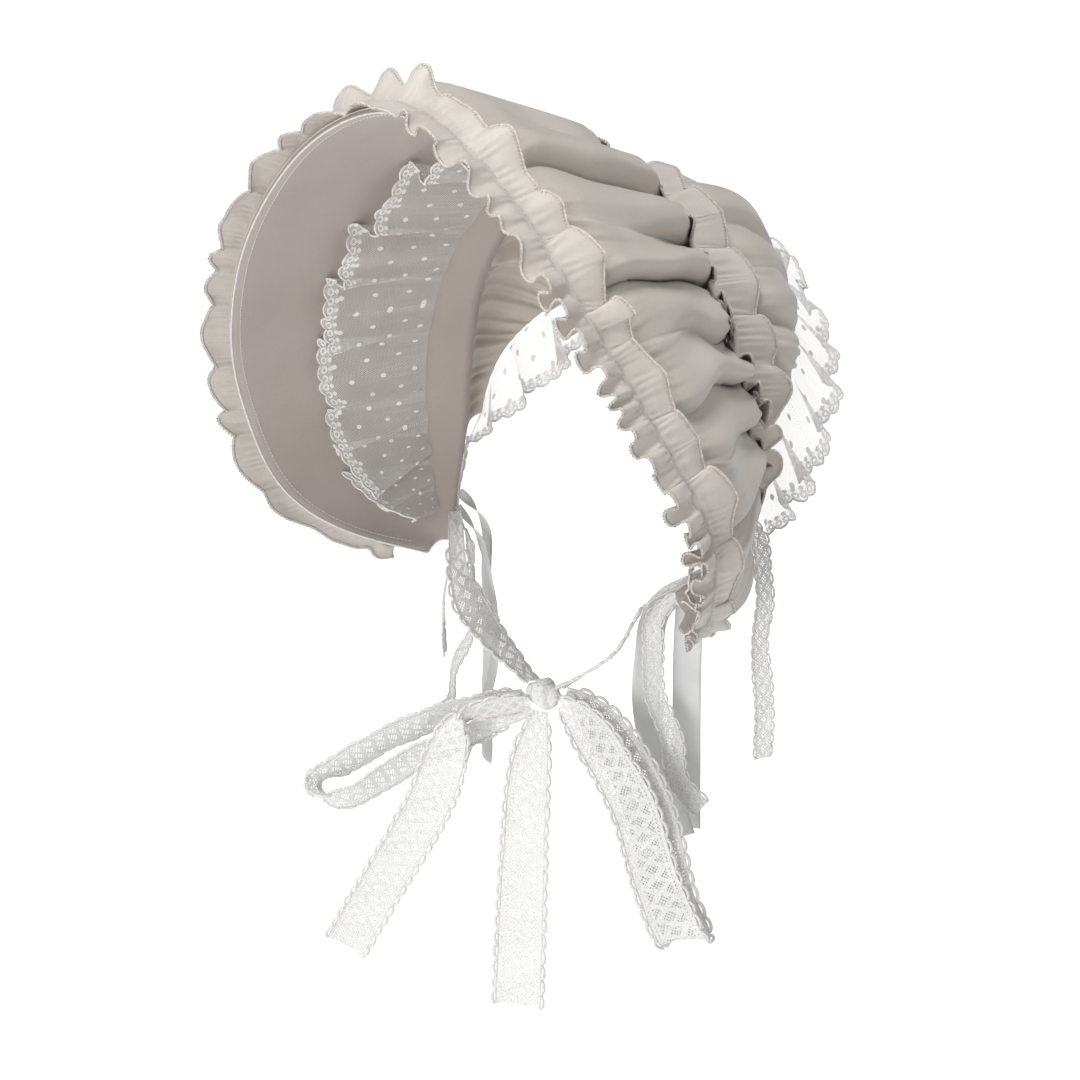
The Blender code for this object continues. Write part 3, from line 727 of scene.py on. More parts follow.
coverLook = {
    "folds": (                  # valley's place at the rim and at the seam; fold height, lean, valley depth
        (0.05, 0.06, 16, 1.0, 0.2), (0.14, 0.155, 17, 2.0, 0.55), (0.22, 0.25, 13.5, 1.5, 0.1),
        (0.315, 0.335, 15.5, 2.2, 0.6), (0.395, 0.43, 11, 1.5, 0.12), (0.49, 0.505, 13.5, 2.3, 0.55),
        (0.56, 0.60, 11, 1.6, 0.1), (0.67, 0.675, 12.5, 2.2, 0.55), (0.75, 0.775, 10.5, 1.5, 0.15),
        (0.87, 0.87, 12, 2.0, 0.6), (0.965, 0.965, 8, 1.0, 1.0),
    ),
    "steps": 30, "rows": 60, "puff": 2.0, "flat": 6.0, "rise": 34.0, "fall": 36.0, "end": 1.4,
    "plump": 0.72, "ridge": 0.95, "cutStart": 0.28, "cutRun": 0.55, "gatherRim": 0.8, "rimFade": 17,
    "gatherSeam": 1.3, "seamFade": 20, "sway": (0.022, 38, 400, 2), "swayEnd": 0.965, "wall": 0.6,
    "width": 130,
    "gathers": ((8.2, 17, 5), (4.6, 11, 6)),    # pitch, spacing of its wander, seed
    "dents": (                  # height, spacing, squeeze along and across, shift, seed
        (1.9, 21, 1.0, 0.6, 400, 3), (1.9, 40, 3.4, 0.55, 1400, 4)),
}


def quarterWave(share):
    return np.sin(math.pi / 2 * np.clip(share, 0, 1))


def gathered(place, look):
    # coarse and fine waves along the cloth, each with a wandering phase
    return [np.sin(place * 2 * math.pi / pitch + 3.0 * wander(place + 500, spacing, seed))
            for pitch, spacing, seed in look["gathers"]]


def dented(place, run, look):
    # soft dents, and longer ones that follow the folds
    return sum(height * wanderOver(place * squeeze + shift, run * across, spacing, seed)
               for height, spacing, squeeze, across, shift, seed in look["dents"])


def swayed(place, run, look):
    # how far the folds wander sideways
    size, spacing, shift, seed = look["sway"]
    return size * wanderOver(place + shift, run, spacing, seed)


def foldedColumns(table, steps):
    # of each column: place at the start and end, fold height, way across the fold, valley depth
    ends = [row[:-3] for row in table]
    looks = [row[-3:] for row in table]
    valleys = [tuple(-x for x in row) for row in reversed(ends)] + ends
    deep = [look[2] for look in looks]
    deep = deep[::-1] + deep
    folds = [(look[0], look[1], -1) for look in looks[:0:-1]] + [(looks[0][0], 1.0, 1)] + [
        (look[0], look[1], 1) for look in looks[1:]]
    columns = []
    for k, (height, lean, way) in enumerate(folds):
        for t in np.arange(steps) / steps:
            place = [a + (b - a) * t for a, b in zip(valleys[k], valleys[k + 1])]
            across = t ** lean if way > 0 else 1 - (1 - t) ** lean
            columns.append([*place, height, across, deep[k] * (1 - t) + deep[k + 1] * t])
    columns.append([*valleys[-1], 0.0, 0.0, deep[-1]])
    return (np.array(column)[:, None] for column in zip(*columns))


coverField, panelField = {}, {}     # heights that the ruffles rest on


def foldShape(t, deep, toward, look):
    # height across a fold, between valleys that deepen toward the gathers
    cut = deep + (1 - deep) * toward
    return look["plump"] * (1 - cut) + cut * np.abs(np.sin(math.pi * t)) ** (look["ridge"] - 0.4 * toward)


def makeCloth(name, node, surface, places, lift, uv, look, field):
    # folded cloth over a surface, whose heights are kept in field
    u, v = places
    field.update(u=u, v=v, lift=lift + look["wall"])
    grid = raised(surface, u, v, lift)[0]
    cloth = sheetPiece(name, grid, np.stack(uv, axis=-1), "cloth", look["wall"], 1)
    dress(cloth, "cloth", node)


def heightAt(field, u, v):
    # height of the cloth at places on it
    rows = [np.interp(u, field["u"][:, k], field["lift"][:, k]) for k in range(field["u"].shape[1])]
    table = np.stack(rows, axis=1)
    at = np.clip(v / field["v"].max(), 0, 1) * (table.shape[1] - 1)
    low = np.floor(at).astype(int)
    high = np.minimum(low + 1, table.shape[1] - 1)
    index = np.arange(len(u))
    return table[index, low] * (1 - at + low) + table[index, high] * (at - low)


def bridged(heights, width):
    # heights with narrow valleys bridged over
    width = max(3, int(width) | 1)
    padded = np.pad(heights, width // 2, mode="edge")
    top = np.max(np.lib.stride_tricks.sliding_window_view(padded, width), axis=1)
    padded = np.pad(top, width // 2, mode="edge")
    return np.convolve(padded, np.ones(width) / width, "valid")


def makeBrimCover():
    look = coverLook
    atRim, atSeam, height, t, deep = foldedColumns(look["folds"], int(look["steps"] * coarse))
    size = depthAt(atRim) / shrink(atRim)
    v = np.linspace(0, 1, look["rows"]) * (1 - look["end"] / size)
    u = atRim + (atSeam - atRim) * v
    fromRim, fromSeam = v * size, (1 - v) * size
    arcPlace = u * shape["rimHalf"]
    u = u + swayed(arcPlace, fromRim, look) * np.clip((look["swayEnd"] - np.abs(u)) * 30, 0, 1) * np.sin(
        math.pi * v)
    size = depthAt(u) / shrink(u)
    swell = quarterWave((v * size - look["flat"]) / look["rise"]) * quarterWave((1 - v) * size / look["fall"])
    swell = swell * shrink(u)
    fold = foldShape(t, deep, np.clip((v - look["cutStart"]) / look["cutRun"], 0, 1), look)
    lift = shape["gap"] + (look["puff"] + height * fold) * swell
    lift += dented(arcPlace, fromRim, look) * swell * (0.35 + 0.65 * fold)
    ripple, fine = gathered(arcPlace, look)
    mask = np.clip(swell * 3, 0, 1)
    lift += look["gatherSeam"] * (ripple + 0.4 * fine) * np.exp(-fromSeam / look["seamFade"]) * mask
    beyond = np.maximum(fromRim - look["flat"], 0)
    lift += look["gatherRim"] * (0.7 * fine + ripple) * np.exp(-beyond / look["rimFade"]) * mask
    makeCloth("gatheredCover", "brim_cover", brimSurface, (u, v), np.maximum(lift, shape["gap"]),
              (arcPlace, fromRim), look, coverField)


# Back panel

panelLook = {
    "folds": (                  # valley's place; fold height, lean, valley depth
        (0.07, 7, 1.0, 0.7), (0.22, 9, 1.4, 0.9), (0.36, 7, 1.2, 0.5), (0.50, 9, 1.5, 0.85),
        (0.64, 7, 1.2, 0.5), (0.80, 8, 1.4, 0.8), (1.00, 5, 1.0, 1.0),
    ),
    "steps": 32, "rows": 56, "plump": 0.7, "ridge": 1.1, "gather": 1.6, "seamFade": 17, "rearFade": 12,
    "sway": (0.02, 35, 300, 12), "wall": 0.6,
    "puffed": 1.15,             # flat width to the plain way over the panel
    "gathers": ((8.5, 19, 15), (4.9, 11, 16)),
    "dents": ((1.4, 23, 1.0, 0.6, 300, 13), (1.7, 36, 3.0, 0.5, 900, 14)),
}


def makeBackPanel():
    look = panelLook
    place, height, t, deep = foldedColumns(look["folds"], int(look["steps"] * coarse))
    w = np.linspace(0, 1, look["rows"]) * np.ones_like(place)
    u = place * np.ones_like(w)
    length = panelLength(u)
    swell = np.sin(math.pi * w) ** 0.85 * np.minimum(1, length / shape["fullDepth"])
    arcPlace, run = u * shape["panelHalf"], w * length
    u = u + swayed(arcPlace, run, look) * np.sin(math.pi * w) * np.clip((1 - np.abs(u)) * 12, 0, 1)
    lift = height * foldShape(t, deep, np.abs(2 * w - 1) ** 1.5, look) * swell
    lift += dented(arcPlace, run, look) * swell
    ripple, fine = gathered(arcPlace, look)
    near = np.exp(-run / look["seamFade"]) + np.exp(-(length - run) / look["rearFade"])
    lift += look["gather"] * (ripple + 0.4 * fine) * near * np.clip(swell * 4, 0, 1)
    makeCloth("backPanel", "back_panel", panelSurface, (u, w), np.maximum(lift, 0), (arcPlace, run), look,
              panelField)


# Gathered strips

def wavePhase(place, pitch, vary, seed):
    # running phase of waves whose lengths differ
    rng = np.random.default_rng(seed)
    total = place[-1]
    widths = pitch * (1 + vary * rng.uniform(-1, 1, int(total / pitch * 1.6) + 4))
    ends = np.concatenate([[0], np.cumsum(widths)])
    phase = np.interp(place, ends, np.arange(len(ends))) * 2 * math.pi
    window = max(3, int(pitch * 0.35 / (place[1] - place[0])))
    padded = np.concatenate([np.full(window, phase[0]), phase, np.full(window, phase[-1])])
    return np.convolve(padded, np.ones(window) / window, "same")[window:-window]


def placesAlong(line, look):
    at = lengthsOf(line)
    return at, np.linspace(0, at[-1], int(at[-1] / look["step"] * coarse))


def flange(stitch, edge, lift, phase, place, look, seed, reach=None, prop=None):
    # columns by rows, from the stitching to the free edge, folding more and more over itself
    tangent = unit(np.gradient(edge, axis=0))
    pitch = look["pitch"]
    size = 1 + look["uneven"] * wander(place, pitch * 0.9, seed)
    tilt = look["uneven"] * wander(place, pitch * 1.4, seed + 1)
    lap = np.clip(0.45 + 0.75 * wander(place, pitch * 1.1, seed + 2), 0, 1.2)
    calm = np.clip(np.minimum(place, place[-1] - place) / look["endCalm"], 0.12, 1)
    arched = look["arched"]     # share of long arcs between tight notches; the rest are even waves
    arcs = 1.7 * np.abs(np.sin(phase / 2)) ** 0.75 - 0.95       # about as much above zero as below
    fold = (1 - arched) * np.sin(phase + look["saw"] * np.sin(phase)) + arched * arcs
    over = (1 - arched) * np.sin(2 * phase) + arched * 1.8 * np.sin(phase) * np.cos(phase / 2) ** 4
    short = 0.28 * arched * np.abs(np.cos(phase / 2)) ** 3
    pucker = np.sin(place * 2 * math.pi / look["pucker"] + 4.5 * wander(place, 6, seed + 3))
    reach = np.ones(len(place)) if reach is None else reach
    rows = []
    for share in np.linspace(0, 1, look["rows"]):
        d = share * reach * (1 - short * share)
        grow = (look["pinch"] + (1 - look["pinch"]) * d ** look["opening"]) * calm
        up = look["height"] * grow * size * (fold + 0.3 * tilt) + look["puff"] * np.sin(math.pi * d ** 0.6)
        up = up + look["puckerHeight"] * pucker * (1 - d) ** 1.3 * np.minimum(1, d * 6)
        up = up + look["crumple"] * d * wanderOver(place, d * 15 + 40, 9, seed + 4)
        if prop is not None:    # what lies under the strip holds it up
            up = np.maximum(up + look["height"] * look["standing"] * grow * size, 0) + prop(share)
        row = stitch + (edge - stitch) * d[:, None] + lift * up[:, None]
        rows.append(row - tangent * (look["overhang"] * grow * lap * over)[:, None])
    return np.stack(rows, axis=1)


def gatheredStrip(name, node, ribs, lifts, look, seed, props):
    # ribs: front edge, front stitch, rear stitch, rear edge, from one end of the strip to the other
    at, place = placesAlong((ribs[1] + ribs[2]) / 2, look)
    front, frontStitch, rearStitch, rear = (spline(at, rib, place) for rib in ribs)
    frontLift, rearLift = (unit(spline(at, lift, place)) for lift in lifts)
    share = place / place[-1]
    near = np.interp(share, look["change"], (0, 1))
    stretch = look["farStretch"] + (1 - look["farStretch"]) * near     # longer waves on the far side
    waves = np.concatenate([[0], np.cumsum(np.diff(place) / stretch[1:])])
    phase = wavePhase(waves, look["pitch"], look["vary"], seed)
    frontLook = {**look, "height": look["frontHeight"] * (look["calm"] + (1 - look["calm"]) * near),
                 "arched": 1 - near * (1 - look["frontArched"])}
    rearLook = {**look, "height": look["rearHeight"], "pitch": look["rearPitch"],
                "overhang": look["rearOverhang"], "arched": look["rearArched"]}
    frontProp, rearProp = (prop and prop(share, look["step"] / coarse) for prop in props)
    ahead = flange(frontStitch, front, frontLift, phase, place, frontLook, seed + 10, prop=frontProp)
    rearPhase = wavePhase(place, look["rearPitch"], look["vary"], seed + 5)
    behind = flange(rearStitch, rear, rearLift, rearPhase, place, rearLook, seed + 20, prop=rearProp)
    grid = np.concatenate([ahead[:, ::-1], behind], axis=1)
    middle = ahead.shape[1]
    across = lengthsOf(grid[len(grid) // 2])
    uv = flatGrid((lengthsOf(grid[:, 0])[:, None], across[None] - across[middle]))
    strip = sheetPiece(name, grid, uv, "ruffle", look["wall"], 0)
    normals = gridNormals(grid)
    edges = []
    for k, inside in ((0, 1), (-1, -2)):
        out = unit(grid[:, k] - grid[:, inside])
        edges.append((grid[:, k] + out * look["sergeOut"], normals[:, k], out * look["overlockIn"]))
    serged = join(name + "Serging", [tubePiece(f"{name}Edge{i}", line, up, look["serge"], "serging")
                                     for i, (line, up, _) in enumerate(edges)])
    overlock = repeatPiece(name + "Overlock", [(line - inward, up) for line, up, inward in edges],
                           overlockShape, "serging", look["stitch"], turn=0.35, turnJitter=0.15,
                           sizeJitter=0.1, seed=seed)
    seam = [(grid[:, row] + normals[:, row] * (look["wall"] / 2 + 0.05), normals[:, row])
            for row in (middle - 1, middle)]
    sewn = repeatPiece(name + "Stitches", seam, stitchShape, "serging", look["seamStitch"], sizeJitter=0.1,
                       seed=seed + 3)
    trims = [serged, overlock, sewn]
    dress(strip, "ruffle", node, trims=trims)


def heldUp(heights, rest, window, d):
    # how far the cloth below pushes a strip up, less beside its stitching
    return np.maximum(bridged(heights, window) - rest, 0) * min(1, d * 3)


ruffleLook = {                  # of both ruffles
    "stitchHalf": 1.0, "step": 0.62, "rows": 14, "wall": 0.45, "pinch": 0.12, "pucker": 4.2,
    "puckerHeight": 0.45, "crumple": 1.1, "rearOverhang": 5.5, "rearArched": 0.6, "serge": 0.75,
    "sergeOut": 0.25, "overlockIn": 0.35, "stitch": 1.6, "seamStitch": 2.4, "bridge": 7,
    "change": (0.42, 0.58),     # shares of the length between which the far side's waves give way
}
rimRuffleLook = {
    **ruffleLook, "half": 15.5, "rearReach": 13.5, "inset": 4.0, "reach": 0.935, "flare": -4.0,
    "farFlare": 6.0, "pitch": 15.0, "rearPitch": 25.0, "vary": 0.65, "uneven": 0.7, "saw": 0.2,
    "opening": 1.1, "puff": 1.4, "frontHeight": 4.2, "rearHeight": 5.6, "overhang": 3.0, "calm": 0.6,
    "frontArched": 0.12, "endCalm": 110.0, "standing": 0.6, "farStretch": 1.75,
    "tipPath": ((0.945, 0.03), (0.955, 0.06)), "tipWay": (-0.35, 0.3, -0.85), "tipReach": 5.0,
    "tipNarrow": 0.6, "narrowStart": 0.78, "narrowRun": 0.14, "lift": 2.56, "rearLift": 1.5,
    "clear": 0.5, "rearShare": 0.3,     # of the brim's depth at most
}


def mirrored(half):
    # a line from the top to the left tip, gone on to the right tip; or else places from 0
    return np.concatenate([half[:0:-1] * ((-1, 1, 1) if half.ndim > 1 else -1), half])


def makeRimRuffle():
    look = rimRuffleLook
    u = np.linspace(0, look["reach"], 60)
    depth = depthAt(u)
    inset = look["inset"] * shrink(u)
    base = 2 * shape["gap"] + look["lift"] - shrink(u)
    outward = frameOf(brimSurface, u, inset / depth)[2]

    def place(distance, lift):
        return raised(brimSurface, u, distance / depth, lift)[0]

    narrow = 1 - look["tipNarrow"] * np.clip((u - look["narrowStart"]) / look["narrowRun"], 0, 1)
    reach = np.minimum(look["rearReach"], look["rearShare"] * depth) * (1 + narrow) / 2
    tipU, tipV = np.array(look["tipPath"]).T
    alongU, alongV, tipOut = frameOf(brimSurface, tipU, tipV)
    share = np.linspace(0.15, 1, len(tipU))[:, None]
    way = unit(-alongV * (1 - share) + np.array(look["tipWay"]) * share + tipOut * 0.25)
    foot = brimSurface(tipU, tipV) + tipOut * (base[-1] + 0.6) - alongU * 1.5 * share
    tipReach = look["half"] * narrow[-1] + (look["tipReach"] - look["half"] * narrow[-1]) * share
    stitchWay = way * look["stitchHalf"]
    ribs = [mirrored(np.concatenate(pair)) for pair in (
        (place(inset - look["half"] * narrow, base + look["flare"] * narrow), foot + way * tipReach),
        (place(inset - look["stitchHalf"], base), foot + stitchWay),
        (place(inset + look["stitchHalf"], base), foot - stitchWay),
        (place(inset + reach, base + look["rearLift"]), foot - stitchWay * 2 + tipOut * 3))]
    up = mirrored(np.concatenate([outward, tipOut]))
    places = mirrored(np.concatenate([u, tipU]))
    ribs[0] = ribs[0] + up * (look["farFlare"] * np.clip(-3 * places, 0, 1))[:, None]
    middle = lengthsOf((ribs[1] + ribs[2]) / 2)

    def rearProp(share, step):
        at = np.interp(share, middle / middle[-1], places)
        inside = np.clip((look["reach"] - np.abs(at)) * 25, 0, 1)
        deep = depthAt(at)
        start = look["inset"] * shrink(at)
        run = np.minimum(look["rearReach"], look["rearShare"] * deep)

        def prop(d):
            rest = base[0] + look["rearLift"] * d - look["wall"] - look["clear"]
            return heldUp(heightAt(coverField, at, (start + d * run) / deep), rest, look["bridge"] / step,
                          d) * inside

        return prop

    gatheredStrip("rimRuffle", "rim_ruffle", ribs, (up, up), look, 21, (None, rearProp))


crownRuffleLook = {
    **ruffleLook, "half": 18.0, "reach": 0.76, "frontReach": 15.5, "lift": 3.2, "rearStand": 7.0,
    "pitch": 11.0, "rearPitch": 24.0, "vary": 0.6, "uneven": 0.6, "saw": 0.8, "opening": 1.0,
    "puff": 1.6, "frontHeight": 4.3, "rearHeight": 5.2, "overhang": 4.2, "calm": 1.0,
    "frontArched": 0.15, "endCalm": 8.0, "standing": 0.45, "farStretch": 1.3,
    "frontBridge": 4, "frontClear": 0.3, "clear": 0.8,
    "rearShare": 0.4,           # of the panel's length at most
}


def makeCrownRuffle():
    look = crownRuffleLook
    u = np.linspace(0, look["reach"], 40)
    flat = np.ones_like(u)
    side = np.clip(u / shape["panelReach"], 0, 1)
    base = shape["gap"] + look["lift"]
    alongV, normal = frameOf(brimSurface, u, flat)[1:]
    depth = depthAt(u)
    rearW = np.minimum(look["half"] / panelLength(side), look["rearShare"])
    ribs = [mirrored(rib) for rib in (
        brimSurface(u, 1 - look["frontReach"] / depth) + normal * (base + 1),
        brimSurface(u, 1 - 2 * look["stitchHalf"] / depth) + normal * base,
        brimSurface(u, flat) + normal * base,
        panelSurface(side, rearW) + normal * look["rearStand"])]
    middle = lengthsOf((ribs[1] + ribs[2]) / 2)
    places = mirrored(u)

    def frontProp(share, step):
        at = np.interp(share, middle / middle[-1], places)
        deep = depthAt(at)

        def prop(d):
            start = 2 * look["stitchHalf"]
            heights = heightAt(coverField, at, 1 - (start + d * (look["frontReach"] - start)) / deep)
            rest = base + d - look["wall"] - look["frontClear"]
            return heldUp(heights, rest, look["frontBridge"] / step, d)

        return prop

    def rearProp(share, step):
        at = np.clip(np.interp(share, middle / middle[-1], places) / shape["panelReach"], -1, 1)
        long = panelLength(at)
        run = np.minimum(look["half"], look["rearShare"] * long)
        bulge = shape["panelBulge"] * np.clip(2.2 - 2 * np.abs(at), 0, 1)

        def prop(d):
            w = d * run / long
            # the strip's own line is straight, and the panel under it bulges
            straight = bulge * (np.sin(math.pi * w) - d * np.sin(math.pi * run / long))
            rest = base * (1 - d) + look["rearStand"] * d - look["wall"] - look["clear"] - straight
            return heldUp(heightAt(panelField, at, w), rest, look["bridge"] / step, d)

        return prop

    lifts = mirrored(unit(normal - alongV * 0.35)), mirrored(normal)
    gatheredStrip("crownRuffle", "crown_ruffle", ribs, lifts, look, 41, (frontProp, rearProp))


# Tulle frills

def scallops(run, pitch, depth, width):
    return 1 - depth / width * (1 - np.abs(np.sin(run * math.pi / pitch)) ** 0.7)


def tulleFrill(name, node, foot, edge, lift, look, seed):
    at, place = placesAlong(edge, look)
    stitch, free = spline(at, foot, place), spline(at, edge, place)
    up = unit(spline(at, lift, place))
    phase = wavePhase(place, look["pitch"], look["vary"], seed)
    plain = flange(stitch, free, up, phase, place, look, seed)
    run = lengthsOf(plain[:, -1])
    width = float(np.median(np.linalg.norm(free - stitch, axis=1)))
    reach = scallops(run, look["scallop"], look["scallopDepth"], width)
    grid = flange(stitch, free, up, phase, place, look, seed, reach)
    fromEdge = (1 - np.linspace(0, 1, look["rows"])[None] * reach[:, None]) * width
    uv = flatGrid((run[:, None] + look["scallop"] / 2, fromEdge))
    frill = sheetPiece(name, grid, uv, "tulle")
    rim, up = grid[:, -1], gridNormals(grid)[:, -1]
    cord = tubePiece(name + "Cord", rim, up, look["cord"], "whiteThread", 5)
    beaded = rim + unit(rim - grid[:, -2]) * 0.2
    beads = repeatPiece(name + "Beads", [(beaded[::-1], up[::-1])], beadShape, "whiteThread", look["beads"],
                        sizeJitter=0.15, turnJitter=0.2, seed=seed)
    dress(frill, "tulle", node, trims=(cord, beads))


frillLook = {                   # of both frills
    "step": 0.42, "scallop": 8.6, "scallopDepth": 2.8, "pucker": 4.0, "puckerHeight": 0.35,
    "arched": 0.3, "endCalm": 6.0, "crumple": 0.8, "clear": 1.0,
}
innerFrillLook = {
    **frillLook, "width": 74.0, "foot": 26.0, "reachAlong": 0.935, "lift": 8.0, "pitch": 37.0,
    "vary": 0.3, "uneven": 0.3, "saw": 1.1, "pinch": 0.08, "opening": 1.0, "puff": 0.4, "height": 9.5,
    "overhang": 13.0, "rows": 16, "cord": 0.55, "beads": 1.7, "on": "brimLining",
    "widthShare": 0.5, "footShare": 0.2,        # of the brim's depth at most
}
backFrillLook = {
    **frillLook, "pitch": 26.0, "vary": 0.4, "uneven": 0.5, "saw": 0.6, "pinch": 0.12, "opening": 0.9,
    "puff": 0.5, "height": 6.0, "overhang": 6.5, "rows": 13, "cord": 0.4, "beads": 1.6, "on": "backPanel",
}


def makeInnerFrill():
    look = innerFrillLook
    u = np.linspace(-1, 1, 90) * look["reachAlong"]
    depth = depthAt(u)
    footV = 1 - np.minimum(look["foot"] / depth, look["footShare"])
    edgeV = footV - np.minimum(look["width"] / depth, look["widthShare"])
    wall = shape["brimWall"] + shape["gap"] + look["clear"]
    foot = raised(brimSurface, u, footV, -wall)[0]
    edge, outward = raised(brimSurface, u, edgeV, -wall - look["lift"])
    tulleFrill("innerFrill", "inner_lace_frill", foot, edge, -outward, look, 61)


def makeBackFrill():
    u = np.linspace(-1, 1, 60)
    foot, edge = along(rearLine, (u + 1) / 2), along(frillLine, (u + 1) / 2)
    normal = frameOf(panelSurface, u * 0.96, np.ones_like(u))[2]
    foot = foot - normal * (shape["gap"] + backFrillLook["clear"])
    tulleFrill("backFrill", "back_lace_frill", foot, edge, normal, backFrillLook, 71)


# Ribbons: rows of out, back, up, width, then the way that the width points.
# A shorter row keeps the rest of the row before.

tieStart = (
    (73, -26.8, -186.3, 7, 0.6, -0.5, -0.1), (63, -38, -194, 9, 0.4, -0.9, 0.0),
    (55, -46, -207, 12, 0.4, -0.9, 0.1),
)
ribbonTables = {
    "tie": (
        *tieStart, (49, -50, -221, 20, 0.3, -0.95, 0.0), (39, -53, -233, 18, 0.3, -0.9, 0.2),
        (26, -59, -244, 10, 0.3, -0.9, 0.3)),
    "tieCrossing": (
        *tieStart, (43, -50, -223, 20, 0.3, -0.95, 0.0), (24, -54, -236, 18, 0.3, -0.9, 0.2),
        (0, -59, -246, 10, 0.3, -0.9, 0.3)),
    "loopLeft": (
        (1, -64, -254, 9, 0.2, -0.4, 0.9), (-24, -66, -267, 18, 0.3, -0.5, 0.8),
        (-60, -72, -286, 24, 0.3, -0.6, 0.74), (-87, -80, -304), (-108, -86, -321), (-115, -88, -330),
        (-111, -86, -337), (-99, -81, -334), (-72, -74, -312), (-42, -70, -291, 18, 0.3, -0.5, 0.8),
        (4, -65, -263, 8, 0.2, -0.4, 0.9)),
    "loopRight": (
        (25, -65, -252, 9, 0.5, -0.3, 0.8), (38, -67, -257, 18, 0.6, 0.4, 0.7),
        (60, -70, -274, 23, 0.75, 0.45, 0.5), (76, -72, -293, 24, 0.85, 0.5, 0.1),
        (87, -74, -317, 24, 0.87, 0.48, 0.0), (99, -77, -336, 25, 0.87, 0.48, 0.1),
        (110, -78, -348, 25, 0.85, 0.45, 0.2), (110, -75, -350),
        (101, -71, -340, 25, 0.87, 0.48, 0.1), (90, -67, -318, 24, 0.87, 0.48, 0.0),
        (79, -64, -294, 24, 0.85, 0.5, 0.1), (60, -61, -270, 22, 0.7, 0.5, 0.5),
        (40, -59, -255, 16, 0.6, 0.4, 0.7), (26, -59, -248, 8, 0.5, -0.1, 0.8)),
    "tailLeft": (
        (8, -72, -256, 8, 0.2, -0.3, 0.9), (-5, -80, -258, 14, 0.3, -0.2, 0.9),
        (-17, -88, -264, 13, 0.7, 0.1, 0.7), (-24, -92, -279, 20, 0.9, 0.3, 0.2),
        (-31, -94, -302, 24, 0.9, 0.42, 0.0), (-54, -97, -348, 24, 0.88, 0.42, -0.15),
        (-89, -101, -411, 24, 0.86, 0.42, -0.2)),
    "tailMiddle": (
        (14, -68, -261, 8, 0.9, 0.2, 0.0), (16, -78, -281, 20, 0.9, 0.4, 0.0),
        (19, -86, -310, 23, 0.9, 0.42, 0.0), (23, -94, -349, 25), (25, -100, -406, 26, 0.9, 0.42, 0.05)),
}
sideTrims = {                   # place along the rim, then rows
    "satin_tail_front": (0.945, (
        (63, -22, -198, 9, 0.8, 0.4, 0.3), (53, -26, -211, 13, 0.8, 0.6, 0.0), (50, -26, -227, 14),
        (48, -26, -256), (57, -26, -292), (71, -26, -327))),
    "satin_tail_rear": (0.91, (
        (67, -13, -194, 12, 0.85, 0.5, 0.0), (64, -13, -215, 14), (64, -13, -279), (65, -13, -329))),
    "lace_tail_front": (0.975, (
        (64, -28, -199, 6, 0.8, 0.5, 0.3), (58, -33, -208, 9, 0.8, 0.6, 0.0), (57, -33, -221, 10),
        (60, -33, -253), (69, -33, -269, 11, 0.8, 0.6, 0.1), (73, -33, -290, 11, 0.8, 0.6, 0.0),
        (88, -33, -303, 11, 0.75, 0.6, 0.3))),
    "lace_tail_rear": (0.80, (
        (92, 3, -168, 9, 0.3, 0.9, 0.0), (95, 4, -184, 9, 0.5, 0.85, 0.0), (98, 2, -202, 10, 0.4, 0.9, 0.0),
        (97, 0, -220), (101, -2, -243, 10, 0.6, 0.8, 0.0), (102, -2, -283, 10, 0.5, 0.85, 0.0))),
}
sewnWidth = 4.5                 # of a tail where it is sewn on
ribbonLook = {
    "wideLace": {"step": 0.9, "rows": 9, "border": 1.7, "wave": 0.35, "cup": 0.8, "cord": 0.45,
                 "slot": "cotton_lace", "arches": 8.1, "shape": wideArch, "wall": 0.0},
    "narrowLace": {"step": 0.9, "rows": 7, "border": 1.2, "wave": 0.3, "cup": 0.4, "cord": 0.38,
                   "slot": "cotton_lace", "arches": 6.6, "shape": narrowArch, "wall": 0.0},
    "satin": {"step": 2.0, "rows": 9, "border": 0.0, "wave": 0.25, "cup": 0.9, "slot": "satin",
              "shape": None, "wall": 0.35},
}


def filled(rows):
    # short rows made whole
    made = [rows[0]]
    for row in rows[1:]:
        made.append((*row, *made[-1][len(row):]))
    return made


def camelCase(node):
    first, *rest = node.split("_")
    return first + "".join(word.title() for word in rest)


def flipped(rows):
    return [(-x, y, z, width, -a, b, c) for x, y, z, width, a, b, c in rows]


